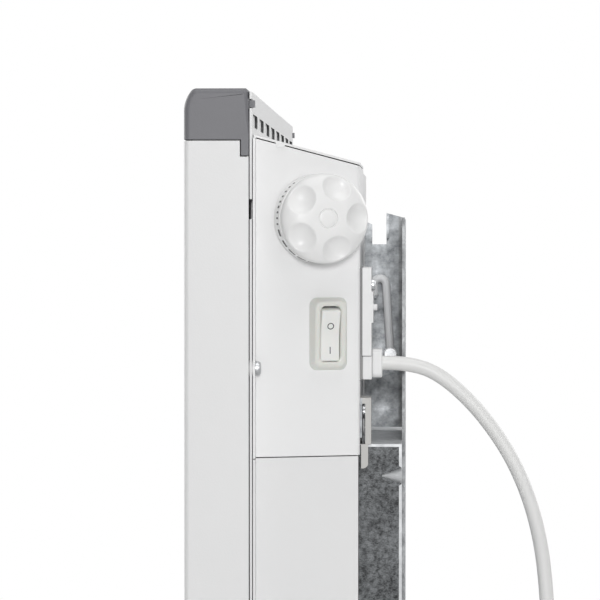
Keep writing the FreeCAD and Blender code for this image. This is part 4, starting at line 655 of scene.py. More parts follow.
@dataclass
class PaintedSheets:
    """White panel, plates, casing and control box: folded sheet with eased edges."""

    ease_mm: float = 0.22
    lid_ease_mm: float = 0.1
    lip_t: float = 0.3
    vent_z: float = 216.0
    vent_reach: float = 3.2
    vent_margin: float = 2.0
    cut_slope: float = 0.3
    foot_t: float = 1.0
    foot_h: float = 18.0
    foot_play: float = 0.05
    foot_margin: float = 1.0

    def hook(self, node: str) -> None:
        """Makes a hook: leg, shoulder and ear in a cream coat darkened with painted shade, on a bare zinc foot.

        Args:
            node: Name of the hook's solid.
        """
        low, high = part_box(node)
        rear = low[1] + (self.foot_t + self.foot_play) * MM
        bottom = high[2] - (self.foot_h + self.foot_play) * MM
        top = high[2] - self.foot_margin * MM
        shape = merged_copy(node)
        cut_across(shape, Vector((0.0, rear, 0.0)), Vector((0.0, 1.0, 0.0)))
        # Cream with painted shade on the leg, shoulder and ear; the foot stays bare zinc.
        piece = eased(shape, node, SHADED_HOOK_COAT, self.ease_mm)
        dress_faces(piece, GALVANISED, lambda face: face.center.y < rear and bottom < face.center.z < top)

    def panel(self) -> None:
        """Makes the front panel, with painted shade where its lips face the back plate."""
        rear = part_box("front_panel")[1][1] - self.lip_t * MM
        piece = eased_copy("front_panel", POWDER_COAT, self.ease_mm)
        # Painted shade on the lips that face the back plate.
        dress_faces(piece, RECESS_SHADE, lambda face: face.normal.y > FACING and face.center.y > rear)

    def plate(self) -> None:
        """Makes the back plate, with painted shade at its front and on the cut edges of its vents."""
        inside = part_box("back_plate")[1][0] - self.vent_margin * MM
        piece = eased_copy("back_plate", POWDER_COAT, self.ease_mm)
        # Painted shade on the plate's front and on its vent walls.
        dress_faces(piece, RECESS_SHADE, lambda face: face.normal.y < -FACING or (
            abs(face.normal.y) < self.cut_slope and abs(face.center.x) < inside
            and abs(face.center.z - self.vent_z * MM) < self.vent_reach * MM))

    def build(self) -> None:
        """Makes and paints every sheet."""
        self.panel()
        self.plate()
        for sheet in ("rear_casing", "inlet_grille"):
            eased_copy(sheet, POWDER_COAT, self.ease_mm)
        for sheet in ("hanger_hook_right", "hanger_hook_left"):
            self.hook(sheet)
        # The control box gets the brighter coat as painted light.
        for sheet in ("control_cover", "control_top"):
            eased_copy(sheet, LIT_COVER_COAT, self.lid_ease_mm)


@dataclass
class GreyMouldings:
    """Grey end caps and outlet grille along the top."""

    cap_ease_mm: float = 0.35
    cap_round_mm: float = 2.8
    cap_foot_mm: float = 207.2
    end_mm: float = 220.0
    grille_ease_mm: float = 0.3

    def cap(self, node: str) -> None:
        """Makes an end cap with its end face rounded over at front, top and rear.

        Args:
            node: Name of the cap's solid.
        """
        shape = merged_copy(node)
        end = (self.end_mm - TOUCH_MM) * MM
        foot = (self.cap_foot_mm + TOUCH_MM) * MM
        rim = [edge for edge in shape.edges if all(abs(vert.co.x) > end for vert in edge.verts)]
        rear = max(vert.co.y for edge in rim for vert in edge.verts) - TOUCH_MM * MM
        over = [edge for edge in rim if all(vert.co.y > rear for vert in edge.verts)
                or any(vert.co.z > foot for vert in edge.verts)]
        rounded(shape, over, self.cap_round_mm, segments=6)
        eased(shape, node, CAP_PLASTIC, self.cap_ease_mm, segments=3)

    def build(self) -> None:
        """Makes both caps and the grille between them, which is white where it faces the wall."""
        self.cap("end_cap_right")
        self.cap("end_cap_left")
        grille = eased_copy("top_grille", CAP_PLASTIC, self.grille_ease_mm)
        dress_faces(grille, POWDER_COAT, lambda face: face.normal.y > FACING)


FLANGE_X, FLANGE_Y = 215.0, -66.3
COVER_SEATS = ((FLANGE_X, FLANGE_Y, 105.5), (120.0, -20.2, 80.0))
CASING_SEATS = ((FLANGE_X, FLANGE_Y, -10.0), (FLANGE_X, FLANGE_Y, -200.0), (-FLANGE_X, FLANGE_Y, 105.5),
                (-FLANGE_X, FLANGE_Y, -10.0), (-FLANGE_X, FLANGE_Y, -200.0))
ENTRY_SEATS = ((188.8, -15.0, 142.2),)


@dataclass
class PanScrews:
    """Pan-head screws with a cross recess, heads towards the wall."""

    head_r: float = 3.2
    head_t: float = 2.4
    crown_share: float = 0.62
    wall_share: float = 0.42
    dome_steps: int = 6
    rim_ease: float = 0.12
    shank_r: float = 1.9
    length: float = 8.0
    tip_ease: float = 0.5
    slot_half: float = 0.42
    slot_reach: float = 1.75
    slot_depth: float = 1.3
    slot_taper: float = 0.72
    slot_weld: float = 1e-8
    first_turn: float = 0.3
    turn_step: float = 0.6
    facets: int = 32

    def profile(self) -> Profile:
        """Gives the outline of a screw that stands up from its seat.

        Returns:
            Radius and height of each point.
        """
        flat = self.crown_share * self.head_r
        wall = self.wall_share * self.head_t
        dome = [(flat + (self.head_r - flat) * math.sin(angle), wall + (self.head_t - wall) * math.cos(angle))
                for angle in (0.5 * index * math.pi / self.dome_steps for index in range(self.dome_steps + 1))]
        return [(0.0, self.head_t), *dome, (self.head_r, self.rim_ease), (self.head_r - self.rim_ease, 0.0),
                (self.shank_r, 0.0), (self.shank_r, -self.length + self.tip_ease),
                (self.shank_r - self.tip_ease, -self.length), (0.0, -self.length)]

    def screw(self) -> Shape:
        """Makes one screw and sinks its cross.

        Returns:
            The screw with its axis along Z.
        """
        shape = turned(self.profile(), self.facets)
        for axis in (Vector((1, 0, 0)), Vector((0, 1, 0))):
            for cut in (self.slot_half, -self.slot_half, self.slot_reach, -self.slot_reach):
                cut_across(shape, axis * cut * MM, axis, self.slot_weld)
        top = [face for face in shape.faces if face.normal.z > FACING and self.in_slot(face.calc_center_median())]
        floor, _ = extruded(shape, top)
        bmesh.ops.delete(shape, geom=top, context="FACES")
        bmesh.ops.scale(shape, vec=(self.slot_taper, self.slot_taper, 1.0), verts=floor)
        bmesh.ops.translate(shape, vec=(0.0, 0.0, -self.slot_depth * MM), verts=floor)
        return shape

    def in_slot(self, point: Vector) -> bool:
        """Tells whether a point of the head's top lies in the cross."""
        across = sorted((abs(point.x) / MM, abs(point.y) / MM))
        return across[0] < self.slot_half and across[1] < self.slot_reach

    def build(self, name: str, node: str, seats: Sequence[Point]) -> None:
        """Makes a group of screws as one piece.

        Args:
            name: Name of the piece.
            node: Solid that it stands for.
            seats: Place of each head's underside, in millimetres.
        """
        group = bmesh.new()
        for number, seat in enumerate(seats):
            turn = Matrix.Rotation(self.turn_step * number + self.first_turn, 4, "Z")
            lie = Matrix.Rotation(-QUARTER_TURN, 4, "X")
            append_shape(group, self.screw(), Matrix.Translation(Vector(seat) * MM) @ lie @ turn)
        make_piece(group, name, ZINC, Body.HEATER, [node], sharp_deg=32.0)


# Controls

@dataclass
class ThermostatKnob:
    """Round knob: ribbed skirt with a printed scale, domed crown with five finger dimples, ringed centre disc.

    Places and lengths of the scale's marks are degrees round the knob, and heights are above the slanted side.
    """

    u_mm: float = 29.0
    drop_mm: float = 57.8
    radius: float = 20.0
    lift: float = 0.8
    shoulder: float = 14.0
    crest: float = 20.2
    crown_steps: int = 44
    crown_powers: tuple[float, float] = (2.6, 0.62)
    wall: float = 2.2
    hub_r: float = 6.0
    hub_foot: float = 3.5
    bore_r: float = 3.03
    bore_top: float = 13.0
    disc_r: float = 3.9
    groove: float = 0.5
    groove_lip: float = 0.12
    skirt_top: float = 13.4
    skirt_foot: tuple[float, ...] = (4.2, 2.0, 1.6)
    ribs: int = 54
    rib_facets: int = 8
    rib_depth: float = 0.95
    rib_floor: float = 0.35
    rib_band: tuple[float, float] = (10.9, 12.7)
    scale_band: tuple[float, float] = (8.3, 5.4)
    scale_dots: int = 9
    first_dot: float = 128.0
    dot_step: float = 7.4
    dot_length: float = 2.6
    scale_dashes: int = 5
    first_dash: float = 199.0
    dash_step: float = 14.9
    dash_length: float = 9.0
    dash_growth: float = 1.0
    dimples: int = 5
    dimple_r: float = 9.4
    dimple_pitch_r: float = 16.9
    dimple_height: float = 24.4
    dimple_drop: float = 0.3
    softness: float = 0.7
    play: float = 0.05

    def crown(self) -> Profile:
        """Gives the crown's profile from the disc's groove to the shoulder.

        Returns:
            Radius and height of each point.
        """
        start = self.disc_r + self.groove + self.groove_lip
        radii = [start + (self.radius - start) * index / self.crown_steps for index in range(self.crown_steps + 1)]
        return [(r, self.crown_height(r)) for r in radii]

    def crown_height(self, r: float) -> float:
        """Height of the crown's dome at a radius, without the dimples.

        Args:
            r: The radius.

        Returns:
            The height.
        """
        share = min(1.0, max(0.0, (r - self.disc_r) / (self.radius - self.disc_r)))
        inner, outer = self.crown_powers
        return self.shoulder + (self.crest - self.shoulder) * (1.0 - share ** inner) ** outer

    def profile(self) -> Profile:
        """Gives the whole closed profile, from the centre of the crown to the hub's bore.

        Returns:
            Radius and height of each point.
        """
        disc, groove_r = self.disc_r, self.disc_r + self.groove
        inner = self.radius - self.wall
        hollow = self.shoulder - 2.0 * self.wall
        drops = [(0.0, 0.0), (2.0, 0.0), (disc - 0.25, 0.0), (disc - 0.06, 0.1), (disc + 0.03, 0.32),
                 (disc + 0.16, self.groove), (groove_r - 0.16, self.groove), (groove_r - 0.03, 0.32),
                 (groove_r + 0.03, 0.12)]
        centre = [(r, self.crest - drop) for r, drop in drops]
        low, high = self.rib_band
        skirt = [(self.radius, z) for z in (self.skirt_top, high + 0.25, high, high - 0.15, low + 0.15, low,
                                            low - 0.25, *self.scale_band, *self.skirt_foot)]
        foot = [(self.radius - 0.1, self.lift + 0.25), (self.radius - 0.4, self.lift), (inner + 0.3, self.lift),
                (inner, self.lift + 0.3), (inner, hollow), (self.hub_r, hollow), (self.hub_r, self.hub_foot + 0.3),
                (self.hub_r - 0.3, self.hub_foot), (self.bore_r, self.hub_foot), (self.bore_r, self.bore_top),
                (0.0, self.bore_top)]
        return centre + self.crown() + skirt + foot

    def dimpled(self, point: Vector) -> float:
        """Height of the crown above a point, with the finger dimples blended in.

        Args:
            point: A point of the crown, in millimetres.

        Returns:
            The new height.
        """
        height = point.z
        for index in range(self.dimples):
            angle = 2.0 * math.pi * index / self.dimples
            away = math.hypot(point.x - self.dimple_pitch_r * math.cos(angle),
                              point.y - self.dimple_pitch_r * math.sin(angle))
            if away < self.dimple_r:
                hollow = self.dimple_height - math.sqrt(self.dimple_r ** 2 - away ** 2)
                blend = max(0.0, self.softness - abs(height - hollow)) / self.softness
                height = min(height, hollow) - 0.25 * self.softness * blend ** 2
        return height

    def printed(self, point: Vector) -> bool:
        """Says whether a point of the skirt lies on the scale's printed dots and dashes.

        Args:
            point: A point of the knob before it is placed, in millimetres.

        Returns:
            True on a mark.
        """
        high, low = self.scale_band
        if not low < point.z < high or math.hypot(point.x, point.y) < self.radius - 2.0 * self.play:
            return False
        angle = math.degrees(math.atan2(point.y, point.x)) % 360.0
        dots = [(self.first_dot + self.dot_step * index, self.dot_length) for index in range(self.scale_dots)]
        dashes = [(self.first_dash + self.dash_step * index, self.dash_length + self.dash_growth * index)
                  for index in range(self.scale_dashes)]
        return any(abs(angle - middle) < 0.5 * length for middle, length in dots + dashes)

    def build(self) -> None:
        """Makes the knob on its spindle and prints its scale."""
        shape = turned(self.profile(), self.rib_facets * self.ribs)
        low, high = self.rib_band
        for vert in shape.verts:
            point = vert.co / MM
            r = math.hypot(point.x, point.y)
            if r > self.disc_r + self.groove and point.z > self.shoulder - self.play:
                vert.co.z = max(self.dimpled(point), self.shoulder - self.dimple_drop) * MM
            elif r > self.radius - self.play and low + 2.0 * self.play < point.z < high - 2.0 * self.play:
                wave = 0.5 - 0.5 * math.cos(self.ribs * math.atan2(point.y, point.x))
                shrink = 1.0 - self.rib_depth * (self.rib_floor + (1.0 - self.rib_floor) * wave) / self.radius
                vert.co.x *= shrink
                vert.co.y *= shrink
        place = side_place(self.u_mm, self.drop_mm)
        bmesh.ops.transform(shape, matrix=place, verts=shape.verts)
        piece = make_piece(shape, "thermostat_knob_turned", KNOB_PLASTIC, Body.KNOB, ["thermostat_knob"],
                           sharp_deg=50.0)
        back = place.inverted()
        dress_faces(piece, MARK_INK, lambda face: self.printed(back @ face.center / MM))


@dataclass
class RockerSwitch:
    """Rocker in a soft drafted collar, with O and I marks."""

    u_mm: float = 34.5
    drop_mm: float = 109.6
    collar_w: float = 17.6
    collar_h: float = 32.8
    collar_t: float = 4.6
    collar_lean: float = 0.06
    draft: float = 1.6
    corner_r: float = 3.6
    rim_ease: float = 0.95
    opening_w: float = 9.3
    opening_h: float = 25.0
    rocker_w: float = 8.8
    rocker_h: float = 22.6
    proud: float = 6.4
    dish: float = 1.7
    dish_ease: float = 3.6
    edge_ease: float = 0.7
    edge_z: float = 2.0
    waist_z: float = -0.8
    foot_share: float = 0.45
    pivot: float = -2.2
    root: float = 4.0
    rest_tilt_deg: float = 7.0
    end_gap: float = 0.05
    end_angles: tuple[float, ...] = (24.0, 20.0, 15.0, 10.0)
    stub_r: float = 1.2
    stub_reach: float = 6.2
    mark_line: float = 0.42
    mark_t: float = 0.08
    mark_rise: float = 0.03
    off_r: float = 1.55
    off_y: float = 4.3
    on_h: float = 3.1
    on_y: float = -6.6
    on_corner: float = 0.16

    def place(self) -> Matrix:
        """Place of the switch on the slanted side."""
        return side_place(self.u_mm, self.drop_mm)

    def tilted(self) -> Matrix:
        """Gives the place of the rocker, with its lower end pressed in.

        Returns:
            A matrix whose Z stands on the tilted rocker.
        """
        pivot = Vector((0.0, 0.0, self.pivot * MM))
        tilt = Matrix.Rotation(math.radians(self.rest_tilt_deg), 4, "X")
        return self.place() @ Matrix.Translation(pivot) @ tilt @ Matrix.Translation(-pivot)

    def collar(self) -> None:
        """Makes the collar round the rocker: a drafted block with a well, softened at its rim and leaned."""
        top_w, top_h = self.collar_w - 2.0 * self.draft, self.collar_h - 2.0 * self.draft
        rise = self.collar_t * MM
        shape = bmesh.new()
        bmesh.ops.create_grid(shape, x_segments=1, y_segments=1, size=0.5)
        bmesh.ops.scale(shape, vec=(self.collar_w * MM, self.collar_h * MM, 1.0), verts=shape.verts)
        rounded(shape, shape.verts[:], self.corner_r, segments=8, affect="VERTICES")
        base = shape.faces[:][0]
        verts, top = extruded(shape, [base])
        bmesh.ops.translate(shape, vec=(0.0, 0.0, rise), verts=verts)
        bmesh.ops.scale(shape, vec=(top_w / self.collar_w, top_h / self.collar_h, 1.0), verts=verts)
        verts, mouth = extruded(shape, [top])
        bmesh.ops.delete(shape, geom=[top], context="FACES")
        bmesh.ops.scale(shape, vec=(self.opening_w / top_w, self.opening_h / top_h, 1.0), verts=verts)
        verts, floor = extruded(shape, [mouth])
        bmesh.ops.delete(shape, geom=[mouth], context="FACES")
        bmesh.ops.translate(shape, vec=(0.0, 0.0, -rise), verts=verts)
        rings = base.edges[:] + floor.edges[:]
        bmesh.ops.delete(shape, geom=[base, floor], context="FACES_ONLY")
        bmesh.ops.bridge_loops(shape, edges=rings)
        soft = [edge for edge in shape.edges
                if all(vert.co.z > 0.9 * rise for vert in edge.verts) and sharper(edge, 30.0)]
        rounded(shape, soft, self.rim_ease, segments=5)
        for vert in shape.verts:
            vert.co.z *= 1.0 + self.collar_lean * vert.co.y / rise
        bmesh.ops.transform(shape, matrix=self.place(), verts=shape.verts)
        make_piece(shape, "switch_collar_moulded", BOOT_PLASTIC, Body.HEATER, ["switch_collar"], sharp_deg=60.0)

    def end_wall(self) -> Profile:
        """Gives the rocker's end wall, which clears the collar's mouth at every tilt.

        Returns:
            Distance from the middle and height of each point, from the top down.
        """
        room = 0.5 * self.opening_h - self.end_gap
        swing = math.radians(self.rest_tilt_deg)
        points = []
        for angle in map(math.radians, self.end_angles):
            reach = room / math.cos(angle - swing)
            points.append((reach * math.cos(angle), self.pivot + reach * math.sin(angle)))
        return points

    def outline(self) -> Profile:
        """Gives the rocker's side view, dished at the top and narrowed to its root.

        Returns:
            Distance from the middle and height of each point.
        """
        half = 0.5 * self.rocker_h
        tip = self.proud - self.dish
        foot, foot_half = self.pivot - self.root, self.foot_share * half
        wall = self.end_wall()
        return [(-half, tip), (0.0, tip - self.dish), (half, tip), *wall, (half, self.waist_z), (foot_half, foot),
                (-foot_half, foot), (-half, self.waist_z), *[(-y, z) for y, z in reversed(wall)]]

    def rocker(self) -> None:
        """Makes the dished rocker on its two stubs."""
        shape = bmesh.new()
        corners = [shape.verts.new((-0.5 * self.rocker_w * MM, y * MM, z * MM)) for y, z in self.outline()]
        far, _ = extruded(shape, [shape.faces.new(corners)])
        bmesh.ops.translate(shape, vec=(self.rocker_w * MM, 0.0, 0.0), verts=far)
        bmesh.ops.recalc_face_normals(shape, faces=shape.faces)
        crease = [edge for edge in shape.edges if all(abs(vert.co.y) < WELD for vert in edge.verts)]
        rounded(shape, crease, self.dish_ease, segments=8)
        upper = [edge for edge in shape.edges
                 if all(vert.co.z > self.edge_z * MM for vert in edge.verts) and sharper(edge, 40.0)]
        rounded(shape, upper, self.edge_ease, segments=4)
        stub = bmesh.new()
        bmesh.ops.create_cone(stub, cap_ends=True, segments=24, radius1=self.stub_r * MM, radius2=self.stub_r * MM,
                              depth=2.0 * self.stub_reach * MM)
        lie = Matrix.Translation((0.0, 0.0, self.pivot * MM)) @ Matrix.Rotation(QUARTER_TURN, 4, "Y")
        append_shape(shape, stub, lie)
        bmesh.ops.transform(shape, matrix=self.tilted(), verts=shape.verts)
        # The rocker gets the brighter copy of the boot plastic as painted light.
        make_piece(shape, "switch_rocker_moulded", LIT_ROCKER_PLASTIC, Body.ROCKER, ["switch_rocker"], sharp_deg=50.0)

    def print_mark(self, shape: Shape, name: str, y_mm: float) -> None:
        """Prints a mark on one half of the rocker's face.

        Args:
            shape: The mark, flat on its own XY plane. It is freed.
            name: Name of the piece.
            y_mm: Distance of the mark from the rocker's middle.
        """
        slope = math.atan2(self.dish, 0.5 * self.rocker_h)
        height = self.proud - 2.0 * self.dish + abs(y_mm) * math.tan(slope)
        lean = Matrix.Rotation(math.copysign(slope, y_mm), 4, "X")
        place = self.tilted() @ Matrix.Translation((0.0, y_mm * MM, height * MM)) @ lean
        bmesh.ops.transform(shape, matrix=place, verts=shape.verts)
        make_piece(shape, name, MARK_INK, Body.ROCKER)

    def marks(self) -> None:
        """Prints the O and the I."""
        inner, top = self.off_r - self.mark_line, self.mark_rise
        low = top - self.mark_t
        ring = [(self.off_r, low), (self.off_r, top), (inner, top), (inner, low), (self.off_r, low)]
        self.print_mark(turned(ring, 40), "switch_mark_off", self.off_y)
        bar = bmesh.new()
        bmesh.ops.create_cube(bar, size=1.0)
        bmesh.ops.scale(bar, vec=(self.mark_line * MM, self.on_h * MM, self.mark_t * MM), verts=bar.verts)
        upright = [edge for edge in bar.edges
                   if abs((edge.verts[0].co - edge.verts[1].co).z) > 0.5 * self.mark_t * MM]
        rounded(bar, upright, self.on_corner, segments=4)
        self.print_mark(bar, "switch_mark_on", self.on_y)

    def build(self) -> None:
        """Makes collar, rocker and marks."""
        self.collar()
        self.rocker()
        self.marks()


@dataclass
class MainsEntry:
    """White cover, base in dark grey painted shade, clamp and square gland where the lead comes in, each with its
    ease and facets.
    """

    mouldings: tuple[tuple[str, Finish, float, int], ...] = (
        # The base is dark grey as painted shade.
        ("entry_base", SHADED_ENTRY_BASE, 0.2, 2), ("entry_cover", ENTRY_PLASTIC, 0.5, 3),
        ("cord_clamp", ENTRY_PLASTIC, 0.5, 3), ("cable_gland", ENTRY_PLASTIC, 0.7, 4))

    def build(self) -> None:
        """Makes every moulding of the entry and its screw."""
        for node, finish, ease_mm, segments in self.mouldings:
            eased_copy(node, finish, ease_mm, segments)
        small = PanScrews(head_r=2.6, head_t=1.8, shank_r=1.4, length=3.0, slot_half=0.36, slot_reach=1.45,
                          slot_depth=1.0)
        small.build("entry_screw_driven", "entry_screw", ENTRY_SEATS)


# Wall bracket

@dataclass
class WallBracket:
    """Galvanised uprights and channel with painted highlights, painted shade and painted dark reflection, and domed
    rivets.
    """

    ease_mm: float = 0.3
    end_face_mm: float = 190.0
    end_rim_mm: float = 1.3
    funnel_rise_mm: float = 0.05
    casing_gap_mm: float = 0.1
    bend_mm: float = -3.1
    rivet_x: float = 115.0
    rivet_heights: tuple[float, ...] = (30.0, -110.0)
    rivet_r: float = 2.4
    rivet_head_r: float = 4.0
    rivet_head_t: float = 1.2
    rivet_ease: float = 0.1
    rivet_steps: int = 8
    rivet_facets: int = 32
    sheet: float = 1.2

    def rivets(self) -> None:
        """Makes the rivets that join channel and uprights, as one piece."""
        group = bmesh.new()
        grip = 2.0 * self.sheet
        dome = [(self.rivet_head_r * math.sin(angle), self.rivet_head_t * math.cos(angle))
                for angle in (0.5 * index * math.pi / self.rivet_steps for index in range(self.rivet_steps))]
        profile = dome + [(self.rivet_head_r, self.rivet_ease), (self.rivet_head_r - self.rivet_ease, 0.0),
                          (self.rivet_r, 0.0), (self.rivet_r, -grip), (0.0, -grip)]
        for side in (-1.0, 1.0):
            for height in self.rivet_heights:
                seat = Matrix.Translation(Vector((side * self.rivet_x, -grip, height)) * MM)
                append_shape(group, turned(profile, self.rivet_facets), seat @ Matrix.Rotation(QUARTER_TURN, 4, "X"))
        make_piece(group, "bracket_rivets_set", ZINC, Body.HEATER, ["bracket_rivets"], sharp_deg=35.0)

    def upright(self, node: str) -> None:
        """Makes an upright, with painted shade on the zinc along the bend at the wall.

        Args:
            node: Name of the upright's solid.
        """
        shape = merged_copy(node)
        front = self.bend_mm * MM
        cut_across(shape, Vector((0.0, front, 0.0)), Vector((0.0, 1.0, 0.0)))
        piece = eased(shape, node, GALVANISED, self.ease_mm)
        # Painted shade on the faces along the bend.
        dress_faces(piece, SHADED_BEND_ZINC, lambda face: face.center.y > front and abs(face.normal.x) > FACING)

    def rail_end(self, node: str) -> None:
        """Makes an end plate in a painted dark reflection, with painted highlights on a flat rim at its top and rear
        and on its funnel.

        Args:
            node: Name of the end plate's solid.
        """
        shape = merged_copy(node)
        low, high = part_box(node)
        rim = self.end_rim_mm * MM
        face_x = (self.end_face_mm - TOUCH_MM) * MM
        funnel_x = (self.end_face_mm + self.funnel_rise_mm) * MM
        plate = max((face for face in shape.faces if abs(face.calc_center_median().x) > face_x),
                    key=lambda face: face.calc_area())
        bmesh.ops.inset_region(shape, faces=[plate], thickness=rim, use_even_offset=True)
        reach = low[1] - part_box("rear_casing")[1][1] - self.casing_gap_mm * MM
        front = [vert for vert in shape.verts if vert.co.y < low[1] + TOUCH_MM * MM]
        bmesh.ops.translate(shape, vec=(0.0, -reach, 0.0), verts=front)
        # Painted dark reflection over the whole end plate.
        piece = eased(shape, node, DARK_REFLECTION_ZINC, self.ease_mm)
        # Painted highlights on the funnel and on the rim at the top and rear.
        dress_faces(piece, HIGHLIGHT_ZINC, lambda face: abs(face.center.x) > funnel_x or (
            abs(face.center.x) > face_x and (face.center.z > high[2] - rim or face.center.y > high[1] - rim)))

    def build(self) -> None:
        """Makes the sheets of the bracket and their rivets."""
        self.upright("bracket_upright_right")
        self.upright("bracket_upright_left")
        rail = eased_copy("bracket_rail", GALVANISED, self.ease_mm)
        # Painted highlights on the rail's upward faces.
        dress_faces(rail, HIGHLIGHT_ZINC, lambda face: face.normal.z > FACING and face.center.z > 0.0)
        self.rail_end("rail_end_right")
        self.rail_end("rail_end_left")
        self.rivets()


@dataclass
class LatchLever:
    """Bent white wire lever on an eye, seen as an upside-down J."""

    right: bool = True
    x_mm: float = 101.6
    pivot: tuple[float, float] = (-7.0, 107.0)
    bend: tuple[float, float] = (-9.1, 140.8)
    wire_r: float = 2.0
    wire_facets: int = 28
    bend_r: float = 3.0
    bend_steps: int = 20
    finger: float = 4.4
    tip_step: float = 0.3
    tip_shares: tuple[float, ...] = (0.4, 0.7, 0.92)
    eye_r: float = 3.4
    eye_t: float = 2.8
    eye_ease: float = 0.4
    eye_corner: float = 0.12
    eye_facets: int = 40
    bore_r: float = 1.55
    bore_ease: float = 0.1

    def wire(self) -> Shape:
        """Draws the wire from the eye over the bend to the finger's rounded tip.

        Returns:
            The wire, in place on the right.
        """
        start = Vector((self.x_mm, *self.pivot)) * MM
        end = Vector((self.x_mm, *self.bend)) * MM
        along = (end - start).normalized()
        across = Vector((0.0, -along.z, along.y))
        shape = bmesh.new()
        bmesh.ops.create_circle(shape, cap_ends=False, segments=self.wire_facets, radius=self.wire_r * MM)
        turn = along.to_track_quat("Z", "Y").to_matrix().to_4x4()
        bmesh.ops.transform(shape, matrix=Matrix.Translation(start) @ turn, verts=shape.verts)
        ring = self.drawn(shape, shape.edges[:], end - start)
        swept = bmesh.ops.spin(shape, geom=ring, cent=end + across * self.bend_r * MM, axis=along.cross(across),
                               angle=math.pi, steps=self.bend_steps, use_merge=False, use_duplicate=False)
        ring = picked(swept["geom_last"], bmesh.types.BMEdge)
        ring = self.drawn(shape, ring, -along * self.finger * MM)
        size = 1.0
        for share in self.tip_shares:
            narrower = math.sqrt(1.0 - share ** 2)
            ring = self.drawn(shape, ring, -along * self.tip_step * self.wire_r * MM, narrower / size)
            size = narrower
        bmesh.ops.holes_fill(shape, edges=[edge for edge in shape.edges if edge.is_boundary], sides=0)
        return shape

    @staticmethod
    def drawn(shape: Shape, ring: list[bmesh.types.BMEdge], run: Vector,
              size: float = 1.0) -> list[bmesh.types.BMEdge]:
        """Draws a ring of edges out along a straight run.

        Args:
            shape: The wire so far.
            ring: Its open end.
            run: The way to go.
            size: Size of the new end against the old one.

        Returns:
            The new open end.
        """
        pulled = bmesh.ops.extrude_edge_only(shape, edges=ring)["geom"]
        verts = picked(pulled, bmesh.types.BMVert)
        bmesh.ops.translate(shape, vec=run, verts=verts)
        middle = sum((vert.co for vert in verts), Vector()) / len(verts)
        bmesh.ops.scale(shape, vec=(size, size, size), space=Matrix.Translation(-middle), verts=verts)
        return [edge for edge in picked(pulled, bmesh.types.BMEdge) if all(vert in verts for vert in edge.verts)]

    def eye(self) -> Profile:
        """Gives the eye's closed profile, from the bore's lower edge round the outside.

        Returns:
            Radius and height of each point.
        """
        half = 0.5 * self.eye_t
        rise = [(self.bore_r, half - self.bore_ease), (self.bore_r + self.bore_ease, half),
                (self.eye_r - self.eye_ease, half), (self.eye_r - self.eye_corner, half - self.eye_corner),
                (self.eye_r, half - self.eye_ease)]
        fall = [(r, -z) for r, z in reversed(rise)]
        return [fall[-1], *rise, *fall]

    def build(self) -> None:
        """Makes the lever of one side."""
        shape = self.wire()
        seat = Matrix.Translation(Vector((self.x_mm, *self.pivot)) * MM)
        append_shape(shape, turned(self.eye(), self.eye_facets), seat @ Matrix.Rotation(QUARTER_TURN, 4, "Y"))
        if not self.right:
            bmesh.ops.scale(shape, vec=(-1.0, 1.0, 1.0), verts=shape.verts)
        side = "right" if self.right else "left"
        body = Body.RIGHT_LATCH if self.right else Body.LEFT_LATCH
        make_piece(shape, "latch_lever_bent_" + side, LEVER_COAT, body, ["latch_lever_" + side], sharp_deg=45.0)


# Mains lead

